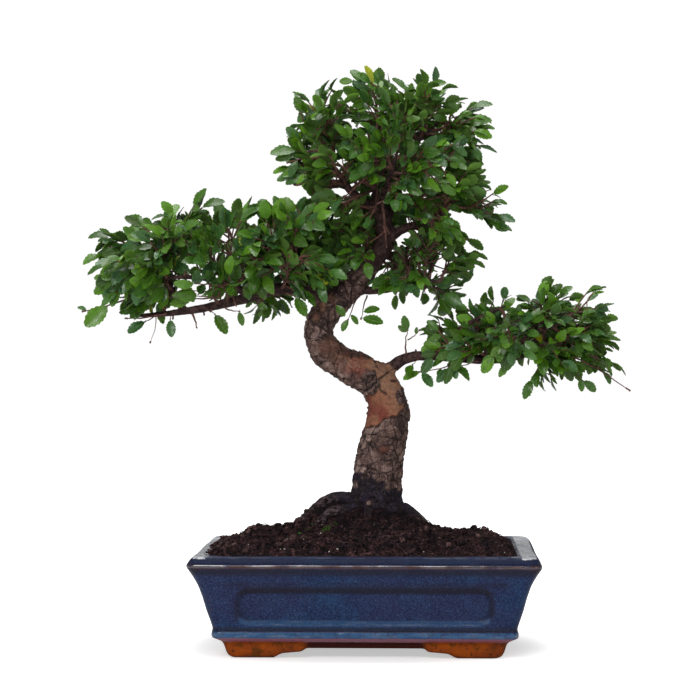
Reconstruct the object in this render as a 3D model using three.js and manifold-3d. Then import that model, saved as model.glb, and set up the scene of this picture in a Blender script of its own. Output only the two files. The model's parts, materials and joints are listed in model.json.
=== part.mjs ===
// Chinese elm bonsai: an S-shaped trunk whose limbs carry pads of small toothed leaves, in a glazed tray on feet.
// Millimetres, +Z up. The origin lies on the surface that the tray stands on, under the middle of the plant.
import * as THREE from "three";
import { mergeVertices } from "three/addons/utils/BufferGeometryUtils.js";
import Module from "manifold-3d";

const wasm = await Module();
wasm.setup();

// All places below are measured from the middle of the tray's foot. This moves them into the frame.
const PLANT_SHIFT = [10, 0, 0];
const SEAT_GAP = 0.3; // between a piece and what carries it

// Tray
const TRAY_LENGTH = 260;
const TRAY_DEPTH = 200;
const TRAY_HEIGHT = 77;
const TRAY_CORNER = 7; // radius of the upright corners
const SKIRT_TOP = 12.4; // where the bare clay of the base ends and the glaze begins
const FLOOR_UNDER = 10.5;
const FLOOR_TOP = 18;
// Height, and how far the outer wall lies inside the rim's widest line there, from the base band to the rim's top
const WALL_PROFILE = [
  [SKIRT_TOP, 23],
  [15.8, 16.8],
  [19.6, 16.8],
  [21.6, 17.8],
  [55, 8],
  [62, 4.7],
  [68.2, 0],
  [72.6, 0.8],
  [75.8, 3.6],
  [TRAY_HEIGHT, 6.4],
];
const MOUTH_INSET = 17; // from the rim's widest line to the mouth's edge
const CAVITY_FOOT_INSET = 26;
const CAVITY_CORNER = 5;
const PANEL_LENGTH = 192; // the sunk panel on each long side
const PANEL_SHORT_LENGTH = 132; // and on each short side
const PANEL_LOW = 26;
const PANEL_HIGH = 54.5;
const PANEL_SINK = 1.8;
const PANEL_CORNER = 11;
const FOOT_INSET = 25; // the feet's outer face at the top, inside the rim's widest line
const FOOT_TAPER = 4; // by which the feet lean in towards the ground
const FOOT_THICK = 14;
const SKIRT_UNDER = 7.7; // underside of the skirt between two feet
const SKIRT_INSET = 2.5; // by which that skirt stands back from the feet
const FOOT_HALF_GAP = 38; // from the middle of a long side to a foot's inner end
const FOOT_FLAT_FROM = 68; // where the foot's flat sole begins
const SIDE_FOOT_HALF_GAP = 22;
const SIDE_FOOT_FLAT_FROM = 44;
const DRAIN_HOLE = 18; // diameter
const DRAIN_AT = 55; // from the middle to each drain hole

// Drain screens: a square of plastic mesh over each hole
const SCREEN_CELLS = 3;
const SCREEN_CELL = 5;
const SCREEN_BAR = 2;
const SCREEN_THICK = 1;

// Soil
const SOIL_EDGE = 75.5; // height where the soil meets the mouth's edge
const SOIL_RISE = 9.5; // from there to the level bed
const SOIL_RISE_OVER = 24; // length of that slope
const MOUNDS = [
  { at: [4, -2], height: 26, spread: 41 },
  { at: [-38, -2], height: 8, spread: 22 },
  { at: [-34, -6], height: 6, spread: 15 },
  { at: [-82, -6], height: 6, spread: 26 },
];
const SOIL_GRID = [18, 10]; // cells of its top along and across the tray

// Trunk: x, y, z and radius of stations from the buried foot to the tip
const TRUNK = [
  [6.4, 4, 82, 24],
  [6.4, 4, 97, 24.5],
  [6.6, 4, 106, 22.6],
  [6.9, 4, 114, 20.2],
  [7.9, 3, 128, 18.4],
  [10.4, 2, 147, 18.8],
  [15.6, 0, 169, 17.6],
  [15.6, -1, 184, 15.8],
  [12.4, -2, 197, 15.2],
  [3.6, -3, 207, 14.6],
  [-8, -3, 213.6, 13.6],
  [-20, -3, 219.4, 12.8],
  [-30.8, -2, 226.6, 12.2],
  [-36.8, 0, 236.6, 11.4],
  [-36.8, 2, 247.6, 11.2],
  [-31.4, 3, 258, 11.4],
  [-22, 4, 267.6, 11.2],
  [-10, 5, 280, 9.8],
  [3, 5, 296, 8.4],
  [13.4, 4, 311, 7.3],
  [13.4, 2, 325, 6.6],
  [9.4, 0, 338, 5.4],
  [7.6, 0, 355, 4.2],
  [8.8, 0, 375, 3.1],
  [7, 0, 394, 2],
];
const TRUNK_SIDES = 10;
const BARK_LUMPS = 0.05; // share of the radius by which the trunk's outline swells and dips

// Limbs, which grow as one with the trunk: x, y, z and radius, from inside what they grow from
const LIMBS = {
  left_low: [
    [-30, 2, 262, 7],
    [-44, 0, 272, 5.6],
    [-60, -3, 275.5, 5],
    [-76, -5, 273.5, 4.6],
    [-92, -7, 268.5, 4.2],
    [-112, -8, 263.5, 3.7],
    [-134, -8, 259, 3.1],
    [-157, -8, 256, 2.2],
    [-180, -7, 254.5, 1.2],
  ],
  left_high: [
    [-36, 2, 266, 5],
    [-46, 6, 287, 3.8],
    [-56, 9, 304, 3.1],
    [-60, 11, 320, 2.4],
    [-66, 12, 334, 1.4],
  ],
  left_outer: [
    [-140, -8, 258, 2.9],
    [-153, -10, 280, 2.3],
    [-163, -10, 300, 1.7],
    [-160, -8, 318, 1.1],
  ],
  left_back: [
    [-74, -4, 274, 3.4],
    [-94, 20, 284, 2.8],
    [-120, 36, 289, 2.2],
    [-146, 42, 291, 1.3],
  ],
  left_front: [
    [-90, -6, 269, 3.2],
    [-104, -26, 278, 2.6],
    [-126, -40, 283, 2],
    [-150, -44, 283, 1.2],
  ],
  left_inner: [
    [-57, 9, 306, 2.4],
    [-44, 14, 320, 1.9],
    [-30, 18, 332, 1.2],
  ],
  left_inner_front: [
    [-46, 0, 273, 3],
    [-54, -22, 288, 2.4],
    [-62, -38, 300, 1.5],
  ],
  right_low: [
    [8, 0, 203, 6.2],
    [20, -2, 215.5, 5],
    [28, -3, 221, 4.4],
    [38, -4, 223.6, 4],
    [52, -5, 223.4, 3.7],
    [68, -5, 222.4, 3.5],
    [86, -4, 220.4, 3.1],
    [106, -2, 221, 2.6],
    [128, 0, 226, 2],
    [148, 2, 232, 1.2],
  ],
  right_high: [
    [50, -5, 223.4, 2.8],
    [61, -9, 233, 2.4],
    [71, -14, 244, 2],
    [88, -15, 254, 1.6],
    [106, -13, 262, 1.1],
  ],
  right_back: [
    [84, -4, 220.6, 2.6],
    [98, 17, 229, 2.1],
    [120, 29, 240, 1.6],
    [140, 32, 248, 1.1],
  ],
  right_front: [
    [90, -4, 220.4, 2.5],
    [106, -22, 230, 2],
    [126, -31, 241, 1.6],
    [146, -32, 248, 1.1],
  ],
  crown_left: [
    [11, 1, 333, 4.4],
    [-2, -3, 342, 3.7],
    [-14, -7, 352, 3],
    [-22, -11, 364, 2.3],
    [-37, -13, 380, 1.2],
  ],
  crown_right: [
    [14, 3, 312, 4.6],
    [25, 0, 320, 3.6],
    [38, -4, 325, 3],
    [52, -7, 329, 2.3],
    [66, -8, 342, 1.2],
  ],
  crown_back: [
    [13, 3, 322, 3.6],
    [19, 20, 340, 2.8],
    [24, 34, 360, 2],
    [24, 40, 376, 1.2],
  ],
  crown_front: [
    [10, 0, 336, 3.2],
    [14, -19, 350, 2.5],
    [20, -33, 366, 1.8],
    [24, -38, 380, 1.1],
  ],
  crown_high: [
    [8, 0, 360, 2.8],
    [24, 2, 376, 2.2],
    [42, 0, 392, 1.7],
    [56, -4, 404, 1.1],
  ],
  under_right: [
    [-14, 5, 276, 4.2],
    [4, -4, 274, 3.2],
    [22, -12, 276, 2.6],
    [40, -15, 282, 2],
    [55, -15, 280, 1.2],
  ],
  under_back: [
    [0, 5, 292, 4],
    [6, 24, 298, 3],
    [20, 40, 304, 2.2],
    [38, 46, 312, 1.3],
  ],
};
const LIMB_SIDES = 5;
const STATIONS_PER_SPAN = 4; // places on each straight stretch of a limb where a spray may grow
const FIRST_TRUNK_STATION = 16; // no spray grows on the trunk below this one of its points

// Surface roots, likewise: each runs out from inside the trunk's foot and dives into the soil
const ROOTS = {
  arch: [
    [-2, 3, 109, 8],
    [-15, 1, 112, 7],
    [-28, -1, 111.5, 6.2],
    [-40, -4, 105, 5.4],
    [-56, -8, 88, 4],
  ],
  arch_front: [
    [-2, -5, 104, 8],
    [-17, -14, 105, 5.6],
    [-30, -20, 102, 4.6],
    [-45, -27, 86, 3.4],
  ],
  front: [
    [4, -4, 104, 9],
    [1, -22, 102, 6],
    [-2, -38, 86, 3.8],
  ],
  right: [
    [14, 3, 108, 9],
    [28, 3, 104, 6.8],
    [40, 2, 97, 5],
    [56, 2, 83, 3.4],
  ],
  back: [
    [6, 8, 104, 9],
    [4, 28, 102, 6.2],
    [0, 44, 86, 3.8],
  ],
};
const ROOT_SIDES = 5;

// Pads: each is an ellipsoid over which the tips of its sprays are spread evenly, down to its lowest share
const PADS = [
  { name: "crown", middle: [14, 0, 368], reach: [66, 52, 56], lowest: -0.72, sprays: 20, turn: 0.4 },
  { name: "left", middle: [-122, -2, 296], reach: [80, 48, 33], lowest: -0.8, sprays: 15, turn: 1.1 },
  { name: "shoulder", middle: [-48, 2, 318], reach: [32, 42, 22], lowest: -0.3, sprays: 5, turn: 2.3 },
  { name: "right", middle: [124, -1, 241], reach: [54, 38, 26], lowest: -0.8, sprays: 9, turn: 0.2 },
  { name: "under", middle: [42, 2, 290], reach: [34, 46, 22], lowest: -0.9, sprays: 6, turn: 0.9 },
];

// Twigs and leaves of a spray
const TWIG_STRETCHES = 2;
const MAIN_TWIG = [1.5, 0.8]; // radius at its foot and at its tip
const SIDE_TWIG = [0.8, 0.6];
const SIDE_TWIGS = [0.4, 0.7]; // shares of the main twig's length where they leave it, on alternate sides
const SIDE_TWIG_LENGTH = 23;
const TWIG_WANTED = 36; // length that a main twig would have by itself
const TWIG_SHORTEST = 22;
const TWIG_BOW = 0.16;
const OUTWARD_WORTH = 30; // millimetres of length that growing straight out of the pad is worth
const PLACES_TRIED = 8;
const BOWS_TRIED = 8;
const BASE_SPACING = 5;
const TWIG_CLEARANCE = 1.2;
const LEAF_LENGTH = 20;
const LEAF_WIDTH = 0.5; // share of its length
const LEAF_THICK = 1.2; // at the rib, from where it thins to the edge
const LEAF_FOLD = 0.28; // rise of the edge, for the width out from the rib
const LEAF_DROOP = -0.08;
const LEAF_MIDDLE = 0.45;
// Half of the leaf's edge, with its teeth: shares of the length along it, and of the width out from the rib
const LEAF_EDGE = [
  [0.28, 0.44],
  [0.35, 0.37],
  [0.6, 0.42],
  [0.67, 0.31],
];
const LEAF_TILT = 0.7;
const LEAF_STALK = 0.8; // half of the width of wood that a leaf stands on
const LEAF_CLEARANCE = 0.2;
const LEAVES_A_SPRAY = 7;

const GOLDEN_TURN = 2.399963;

// A seeded draw from 0 to 1, so that the plant grows the same way each time.
function seededDraw(seed) {
  let state = seed;
  return () => {
    state = (state * 16807) % 2147483647;
    return state / 2147483647;
  };
}

// Solids

function solidOf(geometry) {
  const bare = new THREE.BufferGeometry().setAttribute("position", geometry.getAttribute("position"));
  if (geometry.index) bare.setIndex(geometry.index);
  const merged = mergeVertices(bare, 1e-4);
  return new wasm.Manifold(
    new wasm.Mesh({
      numProp: 3,
      vertProperties: new Float32Array(merged.attributes.position.array),
      triVerts: new Uint32Array(merged.index.array),
    }),
  );
}

function geometryOf(solid) {
  const mesh = solid.getMesh();
  const made = new THREE.BufferGeometry()
    .setAttribute("position", new THREE.BufferAttribute(new Float32Array(mesh.vertProperties), 3))
    .setIndex(new THREE.BufferAttribute(new Uint32Array(mesh.triVerts), 1));
  made.computeVertexNormals();
  return made;
}

function geometryFrom(points, faces) {
  const flat = points.flatMap((p) => [p.x, p.y, p.z]);
  return new THREE.BufferGeometry()
    .setAttribute("position", new THREE.Float32BufferAttribute(flat, 3))
    .setIndex(faces.flat());
}

// A closed skin over rings of equal size, from one end to the other and anticlockwise seen from the far end
function loft(rings) {
  const size = rings[0].length;
  const faces = [];
  for (let i = 0; i + 1 < rings.length; i++) {
    for (let k = 0; k < size; k++) {
      const a = i * size + k;
      const b = i * size + ((k + 1) % size);
      faces.push([a, b, a + size], [b, b + size, a + size]);
    }
  }
  const last = (rings.length - 1) * size;
  for (let k = 1; k + 1 < size; k++) {
    faces.push([0, k + 1, k], [last, last + k, last + k + 1]);
  }
  return solidOf(geometryFrom(rings.flat(), faces));
}

// A tapering tube through points, with a radius at each; swell(i, angle) scales the radius round the ring
function taperedTube(points, radii, sides, swell = () => 1) {
  let across = null;
  const rings = points.map((point, i) => {
    const ahead = points[Math.min(i + 1, points.length - 1)];
    const behind = points[Math.max(i - 1, 0)];
    const along = ahead.clone().sub(behind).normalize();
    if (!across) {
      across = new THREE.Vector3(0, 1, 0);
      if (Math.abs(along.y) > 0.9) across.set(1, 0, 0);
    }
    across.addScaledVector(along, -across.dot(along)).normalize();
    const other = along.clone().cross(across);
    return Array.from({ length: sides }, (_, k) => {
      const angle = (2 * Math.PI * k) / sides;
      const radius = radii[i] * swell(i, angle);
      return point
        .clone()
        .addScaledVector(across, radius * Math.cos(angle))
        .addScaledVector(other, radius * Math.sin(angle));
    });
  });
  return loft(rings);
}

// Tray

function roundedRing(halfLength, halfDepth, radius, height, segments = 2) {
  const corners = [
    [1, 1, 0],
    [-1, 1, 1],
    [-1, -1, 2],
    [1, -1, 3],
  ];
  return corners.flatMap(([sx, sy, quarter]) =>
    Array.from({ length: segments + 1 }, (_, i) => {
      const angle = (Math.PI / 2) * (quarter + i / segments);
      return new THREE.Vector3(
        sx * (halfLength - radius) + radius * Math.cos(angle),
        sy * (halfDepth - radius) + radius * Math.sin(angle),
        height,
      );
    }),
  );
}

function trayBlock(profile, corner, shrink = 0) {
  return loft(
    profile.map(([height, inset]) =>
      roundedRing(TRAY_LENGTH / 2 - inset - shrink, TRAY_DEPTH / 2 - inset - shrink, corner, height),
    ),
  );
}

// A shape drawn in x and height, stood upright and running along Y, or along X when it is turned
function uprightPrism(shape, length, alongX = false) {
  const geometry = new THREE.ExtrudeGeometry(shape, { depth: length, bevelEnabled: false, curveSegments: 3 });
  geometry.translate(0, 0, -length / 2).rotateX(Math.PI / 2);
  if (alongX) geometry.rotateZ(Math.PI / 2);
  return solidOf(geometry);
}

function panelShape(length) {
  const half = length / 2;
  const r = PANEL_CORNER;
  return new THREE.Shape()
    .moveTo(-half + r, PANEL_LOW)
    .lineTo(half - r, PANEL_LOW)
    .absarc(half - r, PANEL_LOW + r, r, -Math.PI / 2, 0)
    .lineTo(half, PANEL_HIGH - r)
    .absarc(half - r, PANEL_HIGH - r, r, 0, Math.PI / 2)
    .lineTo(-half + r, PANEL_HIGH)
    .absarc(-half + r, PANEL_HIGH - r, r, Math.PI / 2, Math.PI)
    .lineTo(-half, PANEL_LOW + r)
    .absarc(-half + r, PANEL_LOW + r, r, Math.PI, 1.5 * Math.PI);
}

// The open space between two feet: straight up at their inner ends, then out over a low shoulder to the sole.
function archShape(halfGap, flatFrom) {
  const shoulder = halfGap + (flatFrom - halfGap) * 0.72;
  return new THREE.Shape()
    .moveTo(-flatFrom, -1)
    .lineTo(flatFrom, -1)
    .lineTo(flatFrom, 0)
    .lineTo(shoulder, 4.4)
    .lineTo(halfGap + 5, 6.4)
    .lineTo(halfGap, SKIRT_TOP + 1)
    .lineTo(-halfGap, SKIRT_TOP + 1)
    .lineTo(-halfGap - 5, 6.4)
    .lineTo(-shoulder, 4.4)
    .lineTo(-flatFrom, 0);
}

function feet() {
  const taper = (height) => FOOT_INSET + FOOT_TAPER * Math.pow(1 - height / SKIRT_TOP, 1.6);
  const levels = [0, 4, SKIRT_TOP + 0.5];
  const outer = trayBlock(
    levels.map((z) => [z, z > SKIRT_TOP ? FOOT_INSET : taper(z)]),
    5,
  );
  const inner = trayBlock(
    [
      [-1, FOOT_INSET + FOOT_THICK],
      [SKIRT_TOP + 2, FOOT_INSET + FOOT_THICK],
    ],
    4,
  );
  return outer
    .subtract(inner)
    .subtract(uprightPrism(archShape(FOOT_HALF_GAP, FOOT_FLAT_FROM), TRAY_DEPTH))
    .subtract(uprightPrism(archShape(SIDE_FOOT_HALF_GAP, SIDE_FOOT_FLAT_FROM), TRAY_LENGTH, true));
}

function skirt() {
  const inset = FOOT_INSET + SKIRT_INSET;
  const plate = trayBlock(
    [
      [SKIRT_UNDER, inset],
      [SKIRT_TOP + 0.5, inset],
    ],
    5,
  );
  const under = trayBlock(
    [
      [0, inset + FOOT_THICK - SKIRT_INSET],
      [FLOOR_UNDER, inset + FOOT_THICK - SKIRT_INSET],
    ],
    4,
  );
  return plate.subtract(under);
}

function cavityProfile(shrink) {
  return [
    [FLOOR_TOP + shrink, CAVITY_FOOT_INSET + 5],
    [FLOOR_TOP + 5, CAVITY_FOOT_INSET],
    [TRAY_HEIGHT - 4, MOUTH_INSET + 1],
    [TRAY_HEIGHT, MOUTH_INSET],
    [TRAY_HEIGHT + 60, MOUTH_INSET],
  ];
}

function drainHole(side) {
  const hole = new THREE.CylinderGeometry(DRAIN_HOLE / 2, DRAIN_HOLE / 2, 2 * FLOOR_TOP, 16)
    .rotateX(Math.PI / 2)
    .translate(side * DRAIN_AT, 0, FLOOR_TOP);
  return solidOf(hole);
}

function makePot() {
  const body = trayBlock(WALL_PROFILE, TRAY_CORNER);
  const grown = trayBlock(WALL_PROFILE, TRAY_CORNER, -PANEL_SINK);
  const wallSkin = grown.subtract(trayBlock(WALL_PROFILE, TRAY_CORNER, PANEL_SINK));
  const cuts = [
    wallSkin.intersect(uprightPrism(panelShape(PANEL_LENGTH), 2 * TRAY_DEPTH)),
    wallSkin.intersect(uprightPrism(panelShape(PANEL_SHORT_LENGTH), 2 * TRAY_LENGTH, true)),
    trayBlock(cavityProfile(0), CAVITY_CORNER),
    drainHole(-1),
    drainHole(1),
  ];
  return wasm.Manifold.union([body, skirt(), feet()]).subtract(wasm.Manifold.union(cuts));
}

function makeScreen(side) {
  const pitch = SCREEN_CELL + SCREEN_BAR;
  const width = SCREEN_CELLS * pitch + SCREEN_BAR;
  const first = (-(SCREEN_CELLS - 1) / 2) * pitch;
  const cells = [];
  for (let i = 0; i < SCREEN_CELLS; i++) {
    for (let k = 0; k < SCREEN_CELLS; k++) {
      const cell = new THREE.BoxGeometry(SCREEN_CELL, SCREEN_CELL, 2 * SCREEN_THICK);
      cells.push(solidOf(cell.translate(first + i * pitch, first + k * pitch, 0)));
    }
  }
  const sheet = solidOf(new THREE.BoxGeometry(width, width, SCREEN_THICK));
  return sheet
    .subtract(wasm.Manifold.union(cells))
    .translate([side * DRAIN_AT, 0, FLOOR_TOP + SEAT_GAP + SCREEN_THICK / 2]);
}

function screenPocket(side) {
  const width = SCREEN_CELLS * (SCREEN_CELL + SCREEN_BAR) + SCREEN_BAR + 2 * SEAT_GAP;
  const height = SCREEN_THICK + 3 * SEAT_GAP;
  const pocket = new THREE.BoxGeometry(width, width, height);
  return solidOf(pocket.translate(side * DRAIN_AT, 0, FLOOR_TOP + height / 2));
}

// Soil

function soilHeight(x, y) {
  const toSide = TRAY_LENGTH / 2 - MOUTH_INSET - Math.abs(x);
  const toFront = TRAY_DEPTH / 2 - MOUTH_INSET - Math.abs(y);
  const share = THREE.MathUtils.smoothstep(Math.min(toSide, toFront), -2, SOIL_RISE_OVER);
  const mounded = MOUNDS.reduce((sum, { at, height, spread }) => {
    const away = ((x - at[0]) ** 2 + (y - at[1]) ** 2) / spread ** 2;
    return sum + height * Math.exp(-away);
  }, 0);
  const humps = 0.9 * Math.sin(0.31 * x + 1.3) * Math.sin(0.37 * y);
  const crumbs = 0.7 * Math.sin(0.73 * x + 0.5 * y) * Math.cos(0.61 * y - 0.4 * x);
  return SOIL_EDGE + share * (SOIL_RISE + mounded + humps + crumbs);
}

function soilBlock() {
  const [across, deep] = SOIL_GRID;
  const halfLength = TRAY_LENGTH / 2 - MOUTH_INSET + 3;
  const halfDepth = TRAY_DEPTH / 2 - MOUTH_INSET + 3;
  const geometry = new THREE.BoxGeometry(2 * halfLength, 2 * halfDepth, 2, across, deep, 1);
  const place = geometry.getAttribute("position");
  for (let i = 0; i < place.count; i++) {
    const top = place.getZ(i) > 0;
    place.setZ(i, top ? soilHeight(place.getX(i), place.getY(i)) : 0);
  }
  return solidOf(geometry);
}

function makeSoil(buriedWood) {
  const filling = trayBlock(cavityProfile(SEAT_GAP), CAVITY_CORNER, SEAT_GAP);
  const cuts = wasm.Manifold.union([buriedWood, screenPocket(-1), screenPocket(1)]);
  return filling.intersect(soilBlock()).subtract(cuts);
}

// Tree

function pointsOf(route) {
  return route.map(([x, y, z]) => new THREE.Vector3(x, y, z));
}

function limbTube(route, sides, grow, swell) {
  return taperedTube(pointsOf(route), route.map((station) => station[3] + grow), sides, swell);
}

function barkSwell(i, angle) {
  return 1 + BARK_LUMPS * (Math.sin(3 * angle + 1.7 * i) + 0.6 * Math.sin(2 * angle - 2.3 * i));
}

function foot(grow) {
  return wasm.Manifold.union([
    limbTube(TRUNK.slice(0, 5), TRUNK_SIDES, grow, barkSwell),
    ...Object.values(ROOTS).map((route) => limbTube(route, ROOT_SIDES, grow)),
  ]);
}

function makeTrunk(grow) {
  return wasm.Manifold.union([
    limbTube(TRUNK, TRUNK_SIDES, grow, barkSwell),
    foot(grow),
    ...Object.values(LIMBS).map((route) => limbTube(route, LIMB_SIDES, grow)),
  ]);
}

// Sprays: first the lines of all their twigs, each bent clear of the others, then the wood and leaves on them

const UP = new THREE.Vector3(0, 0, 1);

// A straight stretch of wood with its thickness, for keeping the twigs apart
function stretchesOf(points, radii) {
  return points.slice(1).map((to, i) => ({ from: points[i], to, radius: Math.max(radii[i], radii[i + 1]) }));
}

// The least distance between two straight stretches
function stretchDistance(a, b) {
  const u = a.to.clone().sub(a.from);
  const v = b.to.clone().sub(b.from);
  const w = a.from.clone().sub(b.from);
  const uu = u.dot(u);
  const uv = u.dot(v);
  const vv = v.dot(v);
  const spread = uu * vv - uv * uv;
  const limit = (share) => Math.min(1, Math.max(0, share));
  let s = spread > 1e-9 ? limit((uv * v.dot(w) - vv * u.dot(w)) / spread) : 0;
  const t = limit((v.dot(w) + s * uv) / vv);
  s = limit((t * uv - u.dot(w)) / uu);
  return w.addScaledVector(u, s).addScaledVector(v, -t).length();
}

// Whether a line of wood keeps its clearance from all the wood given, past the length where it grows out
function runsClear(points, radii, wood, start, startLength) {
  return stretchesOf(points, radii).every((mine) => {
    const away = mine.from.distanceTo(start);
    const length = mine.to.distanceTo(mine.from);
    if (away + length <= startLength) return true;
    const cut = Math.max(0, Math.min(0.9, (startLength - away) / length));
    const rest = { ...mine, from: mine.from.clone().lerp(mine.to, cut) };
    return wood.every((other) => stretchDistance(rest, other) >= rest.radius + other.radius + TWIG_CLEARANCE);
  });
}

function bowedLine(from, to, bow) {
  const control = from.clone().lerp(to, 0.5).add(bow);
  return new THREE.QuadraticBezierCurve3(from, control, to).getPoints(TWIG_STRETCHES);
}

function growingPlaces() {
  const routes = [TRUNK.slice(FIRST_TRUNK_STATION), ...Object.values(LIMBS)];
  return routes.flatMap((route) => {
    const points = pointsOf(route);
    return points.slice(1).flatMap((to, i) =>
      Array.from({ length: STATIONS_PER_SPAN }, (_, k) => {
        const share = (k + 1) / STATIONS_PER_SPAN;
        const radius = route[i][3] * (1 - share) + route[i + 1][3] * share;
        return { point: points[i].clone().lerp(to, share), radius };
      }),
    );
  });
}

// Where the tips of a pad's sprays end: spread evenly over its ellipsoid, from the top down
function padTips(pad) {
  const middle = new THREE.Vector3(...pad.middle);
  const reach = new THREE.Vector3(...pad.reach);
  return Array.from({ length: pad.sprays }, (_, i) => {
    const rise = 1 - ((i + 0.5) / pad.sprays) * (1 - pad.lowest);
    const ring = Math.sqrt(1 - rise * rise);
    const angle = pad.turn + i * GOLDEN_TURN;
    const share = new THREE.Vector3(ring * Math.cos(angle), ring * Math.sin(angle), rise);
    const outward = share.clone().divide(reach).normalize();
    return { tip: share.multiply(reach).add(middle), outward };
  });
}

function twigRadii([thick, thin]) {
  return Array.from({ length: TWIG_STRETCHES + 1 }, (_, i) => THREE.MathUtils.lerp(thick, thin, i / TWIG_STRETCHES));
}

// One spray's main twig: from the best free place on the limbs to its tip, bowed so that it runs clear
function mainTwig({ tip, outward }, places, wood, draw) {
  const turn = 2 * Math.PI * draw();
  const radii = twigRadii(MAIN_TWIG);
  const ranked = places
    .map((place) => {
      const way = tip.clone().sub(place.point);
      const length = way.length();
      const cost = Math.abs(length - TWIG_WANTED) + OUTWARD_WORTH * (1 - way.dot(outward) / length);
      return { place, cost, length, way: way.divideScalar(length) };
    })
    .filter(({ place, length }) => !place.taken && length > TWIG_SHORTEST)
    .sort((a, b) => a.cost - b.cost);
  for (const { place, length, way } of ranked.slice(0, PLACES_TRIED)) {
    const rise = UP.clone().addScaledVector(way, -way.z).normalize();
    const side = way.clone().cross(rise);
    for (let i = 0; i < BOWS_TRIED; i++) {
      const angle = i === 0 ? 0 : turn + (2 * Math.PI * i) / BOWS_TRIED;
      const bow = rise.clone().multiplyScalar(Math.cos(angle)).addScaledVector(side, Math.sin(angle));
      const points = bowedLine(place.point, tip, bow.multiplyScalar(TWIG_BOW * length));
      if (!runsClear(points, radii, wood, place.point, place.radius + 5)) continue;
      return { points, radii, place };
    }
  }
  return null;
}

// The spray's flat: its leaves face this way, out of the pad and up
function facing(way, outward, draw) {
  const normal = outward
    .clone()
    .addScaledVector(UP, 0.7)
    .add(new THREE.Vector3(draw() - 0.5, draw() - 0.5, draw() - 0.5).multiplyScalar(0.6));
  return normal.addScaledVector(way, -normal.dot(way)).normalize();
}

// A direction turned from a twig's own to its left or right in the spray's flat, then raised
function sideways(way, normal, hand, spread, lift) {
  const side = normal.clone().cross(way).multiplyScalar(hand);
  return way
    .clone()
    .multiplyScalar(Math.cos(spread))
    .addScaledVector(side, Math.sin(spread))
    .addScaledVector(normal, Math.sin(lift))
    .normalize();
}

function placeOnLine(points, share) {
  const at = Math.min(share * (points.length - 1), points.length - 1.001);
  const i = Math.floor(at);
  const way = points[i + 1].clone().sub(points[i]).normalize();
  return { point: points[i].clone().lerp(points[i + 1], at - i), way };
}

function sideTwigs(main, normal, wood, draw) {
  const made = [];
  SIDE_TWIGS.forEach((share, i) => {
    const { point, way } = placeOnLine(main.points, share);
    const length = SIDE_TWIG_LENGTH * (1.1 - 0.35 * share) * (0.85 + 0.3 * draw());
    const spread = 0.75 + 0.3 * draw();
    const lift = 0.5 * (draw() - 0.5);
    const hand = i % 2 ? -1 : 1;
    for (const raised of [lift, lift + 0.45, lift - 0.45]) {
      const end = point.clone().addScaledVector(sideways(way, normal, hand, spread, raised), length);
      const points = [point, end];
      const others = [...wood, ...made.flatMap((twig) => stretchesOf(twig.points, twig.radii))];
      if (!runsClear(points, SIDE_TWIG, others, point, 3)) continue;
      made.push({ points, radii: SIDE_TWIG, hand });
      break;
    }
  });
  return made;
}

function planSprays() {
  const limbs = [TRUNK, ...Object.values(LIMBS), ...Object.values(ROOTS)];
  let wood = limbs.flatMap((route) => stretchesOf(pointsOf(route), route.map((station) => station[3])));
  const places = growingPlaces();
  const sprays = [];
  PADS.forEach((pad) => {
    padTips(pad).forEach((end, i) => {
      const draw = seededDraw(7919 * (sprays.length + 1) + 101 * i + 13);
      const main = mainTwig(end, places, wood, draw);
      if (!main) return;
      places.forEach((place) => {
        if (place.point.distanceTo(main.place.point) < BASE_SPACING) place.taken = true;
      });
      const way = main.points.at(-1).clone().sub(main.points.at(-2)).normalize();
      wood = [...wood, ...stretchesOf(main.points, main.radii)];
      sprays.push({ name: pad.name + "_" + (i + 1), main, normal: facing(way, end.outward, draw), draw });
    });
  });
  sprays.forEach((spray) => {
    const own = new Set(stretchesOf(spray.main.points, spray.main.radii).map(({ from }) => from));
    const others = wood.filter(({ from }) => !own.has(from));
    spray.sides = sideTwigs(spray.main, spray.normal, others, spray.draw);
    wood = [...wood, ...spray.sides.flatMap((twig) => stretchesOf(twig.points, twig.radii))];
  });
  return sprays;
}

// One leaf: its toothed edge from the stalk out along each side, folded up a little along the rib, and one point
// above its middle and one below
function leafPoints({ base, way, normal, length }, swell = 0) {
  const flat = normal.clone().addScaledVector(way, -normal.dot(way)).normalize();
  const across = flat.clone().cross(way);
  const width = length * LEAF_WIDTH * (1 + swell);
  const at = (along, out, up) =>
    base
      .clone()
      .addScaledVector(way, along * length)
      .addScaledVector(across, out * width)
      .addScaledVector(flat, up);
  const side = (hand) => LEAF_EDGE.map(([along, out]) => at(along, hand * out, LEAF_FOLD * length * out));
  const thick = LEAF_THICK / 2 + swell * 2;
  return {
    left: side(1),
    right: side(-1),
    tip: at(1, 0, LEAF_DROOP * length),
    above: at(LEAF_MIDDLE, 0, thick),
    below: at(LEAF_MIDDLE, 0, -thick),
  };
}

// A shell under construction: points by number, and faces that turn anticlockwise seen from outside
function newShell() {
  const points = [];
  const faces = [];
  return {
    add: (...more) => more.map((point) => points.push(point) - 1),
    face: (...corners) => faces.push(corners),
    fan: (edge, middle) => edge.forEach((from, i) => faces.push([from, edge[(i + 1) % edge.length], middle])),
    solid: () => solidOf(geometryFrom(points, faces)),
  };
}

// The room that a leaf takes, with its clearance
function leafRoom(leaf) {
  const { left, right, tip, above, below } = leafPoints(leaf, LEAF_CLEARANCE);
  const shell = newShell();
  const edge = shell.add(leaf.base, ...right, tip, ...left.reverse());
  const [top, under] = shell.add(above, below);
  shell.fan(edge, top);
  shell.fan(edge.reverse(), under);
  return shell.solid();
}

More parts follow.
